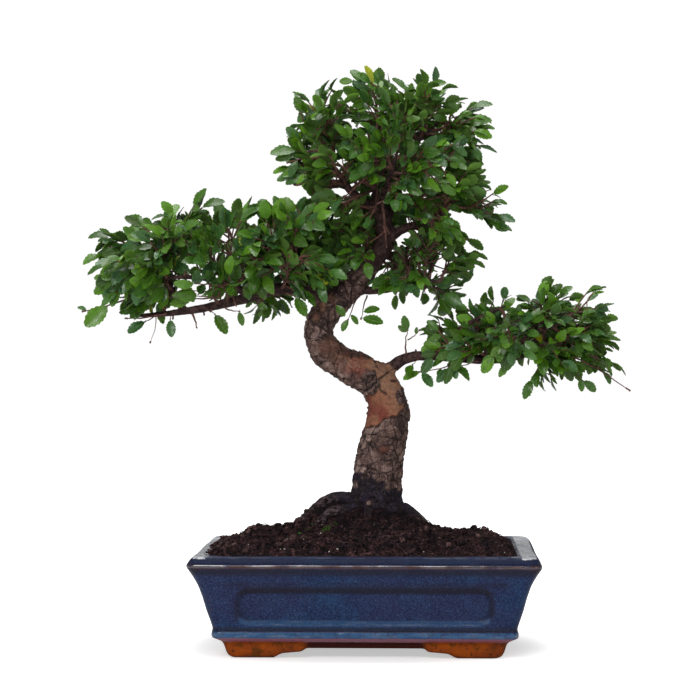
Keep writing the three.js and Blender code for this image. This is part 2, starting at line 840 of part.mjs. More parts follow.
// The three-sided section of a twig: a left and a right edge in the spray's flat, and a top edge above them
function twigSection({ points, radii }, normal, share) {
  const { point, way } = placeOnLine(points, share);
  const radius = THREE.MathUtils.lerp(radii[0], radii.at(-1), share);
  const flat = normal.clone().addScaledVector(way, -normal.dot(way)).normalize();
  const across = flat.clone().cross(way).multiplyScalar(radius * Math.cos(Math.PI / 6));
  const low = point.clone().addScaledVector(flat, -radius / 2);
  return [low.clone().add(across), point.clone().addScaledVector(flat, radius), low.sub(across)];
}

// A twig with the leaves that stand on it, as one closed shell. Each leaf opens its side of the twig over the short
// stretch that its stalk takes, and the leaf at the end closes it.
function sprig(twig, normal, leaves) {
  const shell = newShell();
  const stalk = LEAF_STALK / twig.points[0].distanceTo(twig.points.at(-1));
  const standing = leaves.filter(({ share }) => share < 1);
  const bends = twig.points
    .map((_, i) => i / (twig.points.length - 1))
    .filter((share) => standing.every((leaf) => Math.abs(leaf.share - share) > 2 * stalk));
  const stalkEdges = standing.flatMap(({ share }) => [share - stalk, share + stalk]);
  const shares = [...new Set([0, 1, ...bends, ...stalkEdges])].sort((a, b) => a - b);
  const sections = shares.map((share) => shell.add(...twigSection(twig, normal, share)));
  const wall = (here, next) => {
    shell.face(here[0], here[1], next[0]);
    shell.face(here[1], next[1], next[0]);
  };
  const blade = (leaf) => {
    const { left, right, tip, above, below } = leafPoints(leaf);
    return { rim: shell.add(...right, tip, ...left.reverse()), middles: shell.add(above, below) };
  };
  shell.face(sections[0][0], sections[0][2], sections[0][1]);
  sections.slice(1).forEach(([nextLeft, nextTop, nextRight], i) => {
    const [left, top, right] = sections[i];
    const leaf = standing.find(({ share }) => Math.abs(share - stalk - shares[i]) < 1e-9);
    if (!leaf) {
      wall([left, top], [nextLeft, nextTop]);
      wall([top, right], [nextTop, nextRight]);
      wall([right, left], [nextRight, nextLeft]);
      return;
    }
    const { rim, middles } = blade(leaf);
    if (leaf.hand > 0) {
      shell.fan([top, nextTop, nextLeft, ...rim, left], middles[0]);
      shell.fan([right, nextRight, nextLeft, ...rim, left].reverse(), middles[1]);
      wall([top, right], [nextTop, nextRight]);
    } else {
      shell.fan([right, ...rim, nextRight, nextTop, top], middles[0]);
      shell.fan([right, ...rim, nextRight, nextLeft, left].reverse(), middles[1]);
      wall([left, top], [nextLeft, nextTop]);
    }
  });
  const [left, top, right] = sections.at(-1);
  const end = leaves.find(({ share }) => share === 1);
  if (end) {
    const { rim, middles } = blade(end);
    shell.fan([right, ...rim, left, top], middles[0]);
    shell.fan([right, ...rim, left].reverse(), middles[1]);
  } else {
    shell.face(left, top, right);
  }
  return shell.solid();
}

// Where the leaves of a spray may stand: at the end of each twig first, then back along the twigs
function leafPlaces({ main, sides, normal, draw }) {
  const place = (twig, share, hand) => {
    const { point, way } = placeOnLine(twig.points, share);
    const turned = hand === 0 ? way : sideways(way, normal, hand, 0.9, 0.1);
    const tilt = new THREE.Vector3(draw() - 0.5, draw() - 0.5, draw() - 0.5).multiplyScalar(LEAF_TILT);
    const length = LEAF_LENGTH * (0.85 + 0.3 * draw());
    return { twig, share, hand, base: point, way: turned, normal: normal.clone().add(tilt), length };
  };
  const ends = [place(main, 1, 0), ...sides.map((twig) => place(twig, 1, 0))];
  const mains = [place(main, 0.86, 1), place(main, 0.55, -1)];
  const middles = sides.map((twig) => place(twig, 0.55, twig.hand));
  return [...ends, ...mains, ...middles, place(main, 0.28, -1)];
}

// A twig's root starts inside its limb, so what the cut leaves beyond the limb is dropped.
function largestBody(solid) {
  return solid.decompose().reduce((best, body) => (body.volume() > best.volume() ? body : best));
}

function boxesMeet(a, b) {
  return [0, 1, 2].every((i) => a.min[i] <= b.max[i] && b.min[i] <= a.max[i]);
}

// Sprays with as many leaves as stand clear of all other wood and leaves
function makeSprays(trunkWithRoom) {
  const sprays = planSprays();
  const placed = [{ solid: trunkWithRoom, box: trunkWithRoom.boundingBox() }];
  const keep = (spray, solid) => placed.push({ spray, solid, box: solid.boundingBox() });
  sprays.forEach((spray) => {
    [spray.main, ...spray.sides].forEach((twig) => keep(spray, sprig(twig, spray.normal, [])));
  });
  return sprays.map((spray) => {
    const leaves = [];
    for (const leaf of leafPlaces(spray)) {
      if (leaves.length === LEAVES_A_SPRAY) break;
      const room = leafRoom(leaf);
      const box = room.boundingBox();
      const crosses = placed.some(
        (other) => other.spray !== spray && boxesMeet(box, other.box) && !other.solid.intersect(room).isEmpty(),
      );
      if (crosses || leaves.some((other) => !other.room.intersect(room).isEmpty())) continue;
      leaves.push({ ...leaf, room });
    }
    const twigs = [spray.main, ...spray.sides];
    const sprigs = twigs.map((twig) => sprig(twig, spray.normal, leaves.filter((leaf) => leaf.twig === twig)));
    const whole = largestBody(wasm.Manifold.union(sprigs).subtract(trunkWithRoom));
    keep(spray, whole);
    return { name: spray.name, solid: whole, leaves: leaves.length };
  });
}

const ground = new THREE.Group();
ground.name = "chinese_elm_bonsai";
const plant = new THREE.Group();
plant.position.set(...PLANT_SHIFT);
ground.add(plant);

const glazedClay = new THREE.MeshStandardMaterial({ color: 0x1d3256, roughness: 0.25, metalness: 0 });
const blackMesh = new THREE.MeshStandardMaterial({ color: 0x14161a, roughness: 0.6, metalness: 0 });
const darkSoil = new THREE.MeshStandardMaterial({ color: 0x2a1d16, roughness: 0.95, metalness: 0 });
const elmBark = new THREE.MeshStandardMaterial({ color: 0x6b4a3a, roughness: 0.85, metalness: 0 });
const elmLeaf = new THREE.MeshStandardMaterial({ color: 0x2f6b26, roughness: 0.4, metalness: 0 });

function add(name, solid, material) {
  const mesh = new THREE.Mesh(geometryOf(solid), material);
  mesh.name = name;
  plant.add(mesh);
}

add("pot", makePot(), glazedClay);
add("drain_screen_left", makeScreen(-1), blackMesh);
add("drain_screen_right", makeScreen(1), blackMesh);
add("soil", makeSoil(foot(SEAT_GAP)), darkSoil);
add("trunk", makeTrunk(0), elmBark);
for (const { name, solid } of makeSprays(makeTrunk(SEAT_GAP))) add("spray_" + name, solid, elmLeaf);

export default ground;
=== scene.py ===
import json
import math

import bpy
import numpy as np
from bpy.props import FloatProperty, FloatVectorProperty, IntProperty, PointerProperty
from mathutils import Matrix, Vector, noise
from mathutils.bvhtree import BVHTree
from mathutils.kdtree import KDTree

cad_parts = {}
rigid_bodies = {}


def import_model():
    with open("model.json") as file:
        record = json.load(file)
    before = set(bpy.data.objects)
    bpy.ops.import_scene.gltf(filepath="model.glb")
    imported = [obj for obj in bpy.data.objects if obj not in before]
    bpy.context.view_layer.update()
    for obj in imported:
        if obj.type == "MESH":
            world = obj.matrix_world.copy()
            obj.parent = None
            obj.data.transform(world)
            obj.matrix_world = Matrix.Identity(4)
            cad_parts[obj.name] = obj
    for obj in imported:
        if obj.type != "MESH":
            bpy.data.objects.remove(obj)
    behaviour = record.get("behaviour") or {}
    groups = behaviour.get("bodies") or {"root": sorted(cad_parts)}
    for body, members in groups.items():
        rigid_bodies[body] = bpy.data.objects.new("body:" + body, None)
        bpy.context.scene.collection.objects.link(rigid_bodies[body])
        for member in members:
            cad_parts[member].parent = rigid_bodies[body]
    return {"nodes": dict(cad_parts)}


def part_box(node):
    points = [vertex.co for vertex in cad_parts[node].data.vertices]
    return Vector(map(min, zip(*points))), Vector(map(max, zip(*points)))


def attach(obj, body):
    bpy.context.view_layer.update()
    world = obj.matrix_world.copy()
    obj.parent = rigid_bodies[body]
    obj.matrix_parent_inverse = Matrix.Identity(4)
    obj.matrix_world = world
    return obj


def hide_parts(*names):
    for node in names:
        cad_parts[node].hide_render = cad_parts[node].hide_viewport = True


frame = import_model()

bl_info = {
    "name": "Chinese Elm Bonsai",
    "version": (1, 0, 0),
    "blender": (4, 5, 0),
    "location": "3D View > Sidebar > Bonsai",
    "description": "Dresses a small elm in its glazed tray: bark, leaves, soil, glaze and a white studio",
    "category": "Object",
}

# Sizes are in millimetres from the middle of the tray's foot, as in the part's source; MM makes them metres
MM = 0.001
TRAY_LOW, TRAY_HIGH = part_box("pot")
TRAY_MIDDLE = (TRAY_LOW + TRAY_HIGH) / 2
TRAY_LENGTH = (TRAY_HIGH.x - TRAY_LOW.x) / MM
TRAY_DEPTH = (TRAY_HIGH.y - TRAY_LOW.y) / MM
CAD_SHIFT = np.array([TRAY_MIDDLE.x / MM, TRAY_MIDDLE.y / MM, 0.0])

# Tray: height, and how far the outer wall lies inside the rim's widest line there
WALL_PROFILE = [
    (12.4, 23), (13.2, 21.8), (15.6, 17), (16.4, 16.1), (19, 16), (20.2, 16.5), (21.8, 17.4),
    (26, 16.2), (37, 12.6), (46, 10.3), (55, 7.4), (60, 5.1), (64, 2.9), (67, 1.1), (69.4, -0.5),
    (70.2, -0.8), (70.9, -0.5), (74.2, 1.7), (76.2, 3.4), (77, 5.4), (77, 9),
]
TRAY_CORNER = 7  # radius of the upright corners
RIM_TOP = 77
SKIRT_TOP = 12.4  # bare clay below, glaze above
MOUTH_INSET = 17
CAVITY_PROFILE = [(18, 31), (23, 26), (73, 18.4), (76, 17.2), (90, 16)]
WALL_LEAN = math.atan((17.4 - 7.4) / (55 - 21.8))
WALL_LINE = (21.8, 17.2)  # height and inset of a point on the sloping line that the panels follow
PANEL_LENGTH = 192
PANEL_SHORT_LENGTH = 132
PANEL_LOW = 26
PANEL_HIGH = 54.5
PANEL_SINK = 1.9
PANEL_SLOPE = 3.4  # width of the sloping edge round each panel
PANEL_CORNER = 11
FOOT_PROFILE = [(0, 30.4), (1.2, 28.4), (4.5, 26.6), (13, 24.2)]
FOOT_THICK = 14
SKIRT_UNDER = 7.2
SKIRT_INSET = 4.6
FLOOR_UNDER = 10.5
FOOT_GAP = [(-1, 68), (0, 67.6), (3.4, 62), (5, 46), (15, 42)]  # height, half width between two feet
SIDE_FOOT_GAP = [(-1, 44), (0, 43.6), (3.4, 39), (5, 28), (15, 25)]
DRAIN_HOLE = 18
DRAIN_AT = 55
TRAY_VOXEL = 1.6
TRAY_WOBBLE = 0.55  # by which the walls wander from true

# Bands of the glaze: heights where each starts, is full, starts to fade and ends
BEAD_LEVELS = (15.9, 16.8, 20.2, 21.4)
OVER_BEAD_LEVELS = (20.6, 21.6, 24.2, 25)
UNDER_LIP_LEVELS = (62, 66.5, 68.5, 70)
RIDGE_LEVELS = (69.4, 70.4, 71.4, 72.4)
LIP_LEVELS = (70.6, 71.6, 76.2, 77.2)
MAUVE_LEVELS = (16.7, 16.1)  # none above the first of these, full below the second
UPPER_LEVELS = (73, 75)  # none below the first of these, full above the second
BRINK_LEVELS = (76.2, 76.8)

# Soil
SOIL_EDGE = 75.5
SOIL_RISE = 9.5
SOIL_RISE_OVER = 24
SOIL_FLOOR = 20
GROUND_SEEN_FROM = 121  # height from which the ground is looked for, above the roots
ROOT_BARE_FROM = 3.5  # height above the bed at which a root is clear of litter
MOSS_CLUMPS = [(-27, -34), (-31, -38), (-44, -30), (-52, -36), (84, -40)]
WHITE_GRAINS = 46
SOIL_STEP = 1.2  # between the points of its surface
MOUNDS = [
    ((4, -2), 26, 41),
    ((-38, -2), 8, 22),
    ((-34, -6), 6, 15),
    ((-82, -6), 6, 26),
]  # middle, height, spread

# Trunk, limbs and roots: x, y, z and radius of their stations
TRUNK = [
    (6.4, 4, 82, 24), (6.4, 4, 97, 24.5), (6.6, 4, 106, 22.6), (6.9, 4, 114, 20.2), (7.9, 3, 128, 18.4),
    (10.4, 2, 147, 18.8), (15.6, 0, 169, 17.6), (15.6, -1, 184, 15.8), (12.4, -2, 197, 15.2),
    (3.6, -3, 207, 14.6), (-8, -3, 213.6, 13.6), (-20, -3, 219.4, 12.8), (-30.8, -2, 226.6, 12.2),
    (-36.8, 0, 236.6, 11.4), (-36.8, 2, 247.6, 11.2), (-31.4, 3, 258, 11.4), (-22, 4, 267.6, 11.2),
    (-10, 5, 280, 9.8), (3, 5, 296, 8.4), (13.4, 4, 311, 7.3), (13.4, 2, 325, 6.6), (9.4, 0, 338, 5.4),
    (7.6, 0, 355, 4.2), (8.8, 0, 375, 3.1), (7, 0, 394, 2),
]

LIMBS = {
    "left_low": [
        (-30, 2, 262, 7), (-44, 0, 272, 5.6), (-60, -3, 275.5, 5), (-76, -5, 273.5, 4.6),
        (-92, -7, 268.5, 4.2), (-112, -8, 263.5, 3.7), (-134, -8, 259, 3.1), (-157, -8, 256, 2.2),
        (-180, -7, 254.5, 1.2),
    ],
    "left_high": [
        (-36, 2, 266, 5), (-46, 6, 287, 3.8), (-56, 9, 304, 3.1), (-60, 11, 320, 2.4),
        (-66, 12, 334, 1.4),
    ],
    "left_outer": [
        (-140, -8, 258, 2.9), (-153, -10, 280, 2.3), (-163, -10, 300, 1.7), (-160, -8, 318, 1.1),
    ],
    "left_back": [
        (-74, -4, 274, 3.4), (-94, 20, 284, 2.8), (-120, 36, 289, 2.2), (-146, 42, 291, 1.3),
    ],
    "left_front": [
        (-90, -6, 269, 3.2), (-104, -26, 278, 2.6), (-126, -40, 283, 2), (-150, -44, 283, 1.2),
    ],
    "left_inner": [
        (-57, 9, 306, 2.4), (-44, 14, 320, 1.9), (-30, 18, 332, 1.2),
    ],
    "left_inner_front": [
        (-46, 0, 273, 3), (-54, -22, 288, 2.4), (-62, -38, 300, 1.5),
    ],
    "right_low": [
        (8, 0, 203, 6.2), (20, -2, 215.5, 5), (28, -3, 221, 4.4), (38, -4, 223.6, 4),
        (52, -5, 223.4, 3.7), (68, -5, 222.4, 3.5), (86, -4, 220.4, 3.1), (106, -2, 221, 2.6),
        (128, 0, 226, 2), (148, 2, 232, 1.2),
    ],
    "right_high": [
        (50, -5, 223.4, 2.8), (61, -9, 233, 2.4), (71, -14, 244, 2), (88, -15, 254, 1.6),
        (106, -13, 262, 1.1),
    ],
    "right_back": [
        (84, -4, 220.6, 2.6), (98, 17, 229, 2.1), (120, 29, 240, 1.6), (140, 32, 248, 1.1),
    ],
    "right_front": [
        (90, -4, 220.4, 2.5), (106, -22, 230, 2), (126, -31, 241, 1.6), (146, -32, 248, 1.1),
    ],
    "crown_left": [
        (11, 1, 333, 4.4), (-2, -3, 342, 3.7), (-14, -7, 352, 3), (-22, -11, 364, 2.3),
        (-37, -13, 380, 1.2),
    ],
    "crown_right": [
        (14, 3, 312, 4.6), (25, 0, 320, 3.6), (38, -4, 325, 3), (52, -7, 329, 2.3), (66, -8, 342, 1.2),
    ],
    "crown_back": [
        (13, 3, 322, 3.6), (19, 20, 340, 2.8), (24, 34, 360, 2), (24, 40, 376, 1.2),
    ],
    "crown_front": [
        (10, 0, 336, 3.2), (14, -19, 350, 2.5), (20, -33, 366, 1.8), (24, -38, 380, 1.1),
    ],
    "crown_high": [
        (8, 0, 360, 2.8), (24, 2, 376, 2.2), (42, 0, 392, 1.7), (56, -4, 404, 1.1),
    ],
    "under_right": [
        (-14, 5, 276, 4.2), (4, -4, 274, 3.2), (22, -12, 276, 2.6), (40, -15, 282, 2),
        (55, -15, 280, 1.2),
    ],
    "under_back": [
        (0, 5, 292, 4), (6, 24, 298, 3), (20, 40, 304, 2.2), (38, 46, 312, 1.3),
    ],
}
ROOTS = {
    "arch": [
        (-2, 3, 109, 8), (-15, 1, 112, 7), (-28, -1, 111.5, 6.2), (-40, -4, 105, 5.4), (-56, -8, 88, 4),
    ],
    "arch_front": [
        (-2, -5, 104, 8), (-17, -14, 105, 5.6), (-30, -20, 102, 4.6), (-45, -27, 86, 3.4),
    ],
    "front": [
        (4, -4, 104, 9), (1, -22, 102, 6), (-2, -38, 86, 3.8),
    ],
    "right": [
        (14, 3, 108, 9), (28, 3, 104, 6.8), (40, 2, 97, 5), (56, 2, 83, 3.4),
    ],
    "back": [
        (6, 8, 104, 9), (4, 28, 102, 6.2), (0, 44, 86, 3.8),
    ],
}

LIMB_SIDES = 14
BARK_VOXEL = 0.95
PLATE_SIZE = 15  # of the fine plates of the bark, whose cracks the material draws
PLATE_WANDER = 5  # by which those cracks wander
TRUNK_FOOT = (6.4, 4)
TRUNK_FOOT_REACH = 25
WAIST_AT = 158  # height of the narrow place under the large fresh patch
WAIST_REACH = 13
ROOT_BARK_FROM = (29, 35)  # from the foot's middle, where bark turns into root
ROOTS_UNDER = 124
TRUNK_START = 16  # no spray grows on the trunk below this one of its stations

# Pads of foliage: middle and reach, the lowest share that carries sprays, their number and first turn
PADS = [
    ("crown", (14, 0, 368), (66, 52, 56), -0.72, 20, 0.4),
    ("left", (-122, -2, 296), (80, 48, 33), -0.8, 15, 1.1),
    ("shoulder", (-48, 2, 318), (32, 42, 22), -0.3, 5, 2.3),
    ("right", (124, -1, 241), (54, 38, 26), -0.8, 9, 0.2),
    ("under", (42, 2, 290), (34, 46, 22), -0.9, 6, 0.9),
]

# Where more sprays fill the pads, given in the same way
FILLING_PADS = [
    ("neck", (24, -18, 298), (44, 24, 28), -0.75, 8, 0.7),
    ("neck", (12, 26, 300), (44, 24, 30), -0.7, 5, 1.9),
    ("left", (-112, -2, 296), (78, 50, 36), -0.75, 16, 2.7),
    ("left", (-168, -4, 290), (26, 28, 22), -0.7, 5, 0.3),
    ("left", (-60, -10, 302), (42, 40, 30), -0.6, 8, 1.3),
    ("crown", (12, 0, 378), (70, 56, 58), -0.35, 20, 2.2),
    ("crown", (44, -2, 334), (50, 50, 34), -0.9, 10, 0.6),
    ("crown", (6, -26, 356), (38, 20, 24), -0.8, 7, 1.1),
    ("right", (130, -1, 240), (52, 38, 28), -0.75, 13, 1.4),
    ("right", (82, -3, 234), (34, 28, 14), -0.7, 6, 0.4),
    ("right", (158, -2, 222), (22, 26, 18), -0.8, 4, 2.0),
]
FILLING_SPACING = 3
FILLING_NUMBER = 200  # the filling's sprays are numbered from here for their own draws

# Starts of the random draws
LITTER_SEED = 11
SHOOT_SEED = 77
SPRAY_SEED = 400
FILLING_SEED = 500

# Twigs, planned as in the part's source so that each spray grows where its solid stands
TWIG_STRETCHES = 2
MAIN_TWIG = (1.5, 0.8)
SIDE_TWIG = (0.8, 0.6)
SIDE_TWIGS = (0.4, 0.7)
SIDE_TWIG_LENGTH = 23
TWIG_WANTED = 36
TWIG_SHORTEST = 22
TWIG_BOW = 0.16
OUTWARD_WORTH = 30
PLACES_TRIED = 8
BOWS_TRIED = 8
BASE_SPACING = 5
TWIG_CLEARANCE = 1.2
STATIONS_PER_SPAN = 4
GOLDEN_TURN = 2.399963

# Leaves
LEAF_TEETH = 6  # on each side
LEAF_TOOTH = 0.05
LEAF_THICK = 0.5
LEAF_KINDS = [
    (0.34, -0.12, 0.04, 0.48), (0.46, -0.26, 0.14, 0.53), (0.24, -0.36, -0.14, 0.44),
    (0.4, 0.05, 0.08, 0.51),
]  # fold, droop, twist and width, for a length of 1
LEAF_SHARES = {"crown": 0.82, "left": 0.95, "shoulder": 0.88, "right": 0.79, "under": 0.84, "neck": 0.84}

# Openings in the pads, where wood or the background shows, and the air over and under them that no leaf
# reaches: middle across and up, reach, and the place in depth that they go back to
OPENINGS = [
    ((0, 466), (120, 22), 99),
    ((-77, 246), (20, 11), 99),
    ((5, 338), (9, 12), 2),
    ((-10, 350), (11, 9), -2),
    ((-22, 363), (9, 8), -7),
    ((38, 323), (17, 4.5), -2),
    ((16, 314), (11, 19), 4),
    ((30, 296), (13, 6), -6),
    ((-100, 263), (44, 8), 4),
    ((-90, 326), (8, 6), 99),
    ((-106, 314), (6, 5), 99),
    ((-132, 286), (6, 5), 99),
    ((-109, 273), (7, 4), 99),
    ((-58, 350), (15, 8), 99),
    ((12, 268), (9, 7), 99),
    ((58, 298), (6, 8), 99),
    ((40, 262), (7, 5), 99),
    ((-22, 352), (7, 6), 99),
    ((68, 330), (6, 5), 99),
    ((44, 346), (5, 4), 99),
]


def seeded_draw(seed):
    """Draws from 0 to 1 that come out the same way each time."""
    state = [seed]

    def draw():
        state[0] = (state[0] * 16807) % 2147483647
        return state[0] / 2147483647

    return draw


# Making meshes


def deselect_all():
    if bpy.context.object and bpy.context.object.mode != "OBJECT":
        bpy.ops.object.mode_set(mode="OBJECT")
    bpy.ops.object.select_all(action="DESELECT")


def choose(*objects):
    """Selects these objects alone, the first of them active."""
    deselect_all()
    for obj in objects:
        obj.select_set(True)
    bpy.context.view_layer.objects.active = objects[0]


def settle(obj):
    """Moves an object's place, turn and scale into its mesh."""
    choose(obj)
    bpy.ops.object.transform_apply(location=True, rotation=True, scale=True)
    return obj


def modify(obj, kind, **settings):
    """Adds a modifier and applies it."""
    choose(obj)
    modifier = obj.modifiers.new(kind.title(), kind)
    for name, value in settings.items():
        setattr(modifier, name, value)
    bpy.ops.object.modifier_apply(modifier=modifier.name)


def combine(obj, other, operation):
    """Joins another solid to this one or cuts it away, and uses it up."""
    modify(obj, "BOOLEAN", operation=operation, object=other)
    bpy.data.objects.remove(other)


def join(name, objects):
    choose(*objects)
    bpy.ops.object.join()
    objects[0].name = name
    return objects[0]


def select_edges(obj, wanted):
    """Selects the edges for which wanted(first end, second end) is true, in edit mode."""
    bpy.ops.object.mode_set(mode="OBJECT")
    places = [vertex.co.copy() for vertex in obj.data.vertices]
    chosen = [wanted(places[edge.vertices[0]], places[edge.vertices[1]]) for edge in obj.data.edges]
    bpy.ops.object.mode_set(mode="EDIT")
    bpy.ops.mesh.select_mode(type="EDGE")
    bpy.ops.mesh.select_all(action="DESELECT")
    bpy.ops.object.mode_set(mode="OBJECT")
    obj.data.edges.foreach_set("select", chosen)
    bpy.ops.object.mode_set(mode="EDIT")


def face_outward():
    """Turns every face of the mesh that is edited outward, and leaves edit mode."""
    bpy.ops.mesh.select_all(action="SELECT")
    bpy.ops.mesh.normals_make_consistent(inside=False)
    bpy.ops.object.mode_set(mode="OBJECT")


def stepped_block(name, levels):
    """A closed block round the tray's middle, drawn through levels of height, half length, half depth."""
    deselect_all()
    height, half_length, half_depth = levels[0]
    middle = (TRAY_MIDDLE.x, TRAY_MIDDLE.y, height * MM)
    bpy.ops.mesh.primitive_plane_add(size=2 * MM, location=middle)
    obj = bpy.context.object
    obj.name = name
    obj.scale = (half_length, half_depth, 1)
    settle(obj)
    bpy.ops.object.mode_set(mode="EDIT")
    bpy.ops.mesh.select_all(action="SELECT")
    for next_height, next_length, next_depth in levels[1:]:
        rise = (next_height - height) * MM
        bpy.ops.mesh.extrude_region_move(TRANSFORM_OT_translate={"value": (0, 0, rise)})
        bpy.ops.transform.resize(
            value=(next_length / half_length, next_depth / half_depth, 1),
            center_override=(TRAY_MIDDLE.x, TRAY_MIDDLE.y, next_height * MM),
        )
        height, half_length, half_depth = next_height, next_length, next_depth
    face_outward()
    return obj


def round_uprights(obj, radius):
    """Rounds the four upright corners of a block."""
    choose(obj)
    select_edges(obj, lambda a, b: abs(a.z - b.z) > 0.1 * MM)
    bpy.ops.mesh.bevel(offset=radius * MM, segments=5, affect="EDGES")
    bpy.ops.object.mode_set(mode="OBJECT")
    return obj


def tray_block(name, profile, corner):
    """A block whose levels are heights and insets from the rim's widest line, with rounded corners."""
    levels = [(z, TRAY_LENGTH / 2 - inset, TRAY_DEPTH / 2 - inset) for z, inset in profile]
    return round_uprights(stepped_block(name, levels), corner)


def mesh_piece(name, points, faces):
    """An object made from an array of points in millimetres and a list of faces."""
    mesh = bpy.data.meshes.new(name)
    mesh.from_pydata(((np.asarray(points) + CAD_SHIFT) * MM).tolist(), [], faces)
    mesh.update()
    obj = bpy.data.objects.new(name, mesh)
    bpy.context.scene.collection.objects.link(obj)
    return obj


def points_of(obj):
    """An object's points in millimetres from the middle of the tray's foot."""
    flat = np.empty(len(obj.data.vertices) * 3, np.float32)
    obj.data.vertices.foreach_get("co", flat)
    return flat.reshape(-1, 3) / MM - CAD_SHIFT


def set_points(obj, points):
    flat = ((np.asarray(points) + CAD_SHIFT) * MM).astype(np.float32).ravel()
    obj.data.vertices.foreach_set("co", flat)
    obj.data.update()


def normals_of(obj):
    flat = np.empty(len(obj.data.vertices) * 3, np.float32)
    obj.data.vertex_normals.foreach_get("vector", flat)
    return flat.reshape(-1, 3).astype(float)


def neighbour_mean(obj):
    """A function that gives, for values on a mesh's points, the mean of each point's neighbours."""
    ends = np.empty(len(obj.data.edges) * 2, np.int32)
    obj.data.edges.foreach_get("vertices", ends)
    first, second = ends.reshape(-1, 2).T

    def mean(values):
        total = np.zeros_like(values)
        np.add.at(total, first, values[second])
        np.add.at(total, second, values[first])
        count = np.bincount(ends, minlength=len(values)).astype(float)
        return total / (count[:, None] if values.ndim == 2 else count)

    return mean


def give_values(obj, name, values, domain="POINT"):
    """Stores one number a point (or a face) under a name that the material reads."""
    layer = obj.data.attributes.new(name, "FLOAT", domain)
    layer.data.foreach_set("value", np.asarray(values, np.float32))


def smooth_step(value, low, high):
    share = np.clip((value - low) / (high - low), 0, 1)
    return share * share * (3 - 2 * share)


def finish_piece(obj, materials, nodes=()):
    """Gives a piece its materials, lets it ride on the root and stand for its CAD nodes."""
    obj.data.materials.clear()
    for material in materials:
        obj.data.materials.append(material)
    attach(obj, "root")
    if nodes:
        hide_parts(*nodes)
    return obj


# Materials


class Shader:
    """A new material with short calls for its nodes."""

    def __init__(self, name):
        self.material = bpy.data.materials.new(name)
        self.material.use_nodes = True
        self.tree = self.material.node_tree
        self.surface = self.tree.nodes["Principled BSDF"]
        self.place = self.add("ShaderNodeTexCoord").outputs["Object"]

    def add(self, kind, inputs=(), **settings):
        node = self.tree.nodes.new(kind)
        for name, value in settings.items():
            setattr(node, name, value)
        for name, value in dict(inputs).items():
            self.put(node.inputs[name], value)
        return node

    def put(self, socket, value):
        if isinstance(value, bpy.types.NodeSocket):
            self.tree.links.new(value, socket)
        else:
            socket.default_value = (*value, 1) if socket.type == "RGBA" else value

    def give(self, **values):
        """Sets or links the surface's own sockets; an underscore in a name stands for a space."""
        for name, value in values.items():
            self.put(self.surface.inputs[name.replace("_", " ")], value)

    def noise(self, size, detail=3, rough=0.5, place=None, distortion=0.0):
        """Noise whose lumps are about size millimetres across."""
        inputs = {
            "Vector": place or self.place,
            "Scale": 1 / (size * MM),
            "Detail": detail,
            "Roughness": rough,
            "Distortion": distortion,
        }
        return self.add("ShaderNodeTexNoise", inputs).outputs["Fac"]

    def cells(self, size, place, feature="F1", output="Distance"):
        """Cells about size millimetres across: a number each, or how far their edges are."""
        inputs = {"Vector": place, "Scale": 1 / (size * MM)}
        return self.add("ShaderNodeTexVoronoi", inputs, feature=feature).outputs[output]

    def stretched(self, shares):
        """The place with its axes scaled, for noise that is drawn out along some of them."""
        inputs = {0: self.place, 1: shares}
        return self.add("ShaderNodeVectorMath", inputs, operation="MULTIPLY").outputs["Vector"]

    def value(self, name):
        """A number that the mesh carries."""
        return self.add("ShaderNodeAttribute", attribute_name=name).outputs["Fac"]

    def maths(self, operation, first, second=0.5):
        return self.add("ShaderNodeMath", {0: first, 1: second}, operation=operation).outputs[0]

    def times(self, first, second):
        return self.maths("MULTIPLY", first, second)

    def plus(self, first, second):
        return self.maths("ADD", first, second)

    def minus(self, first, second):
        return self.maths("SUBTRACT", first, second)

    def larger(self, first, second):
        return self.maths("MAXIMUM", first, second)

    def between(self, value, low, high, to_low=0.0, to_high=1.0):
        """A smooth change from one number to another as value goes from low to high."""
        inputs = {"Value": value, "From Min": low, "From Max": high, "To Min": to_low, "To Max": to_high}
        return self.add("ShaderNodeMapRange", inputs, interpolation_type="SMOOTHSTEP").outputs["Result"]

    def band(self, height, levels):
        """1 between the inner two of four heights in millimetres, and 0 outside the outer two."""
        low, full, fading, high = (level * MM for level in levels)
        return self.times(self.between(height, low, full), self.between(height, high, fading))

    def mix(self, share, first, second, blend="MIX"):
        inputs = {0: share, 6: first, 7: second}
        return self.add("ShaderNodeMix", inputs, data_type="RGBA", blend_type=blend).outputs[2]

    def layered(self, colour, *layers):
        """A colour under others, each of which shows as its value goes through its levels."""
        for value, levels, over in layers:
            colour = self.mix(self.between(value, *levels), colour, over)
        return colour

    def tint(self, colour, by):
        """A colour made darker or lighter by a number."""
        return self.mix(1.0, colour, by, "MULTIPLY")

    def height(self):
        return self.add("ShaderNodeSeparateXYZ", {"Vector": self.place}).outputs["Z"]

    def bump(self, height, depth, strength=1.0, under=None):
        """A normal for relief that is depth millimetres deep."""
        inputs = {"Height": height, "Distance": depth * MM, "Strength": strength}
        if under:
            inputs["Normal"] = under
        return self.add("ShaderNodeBump", inputs).outputs["Normal"]


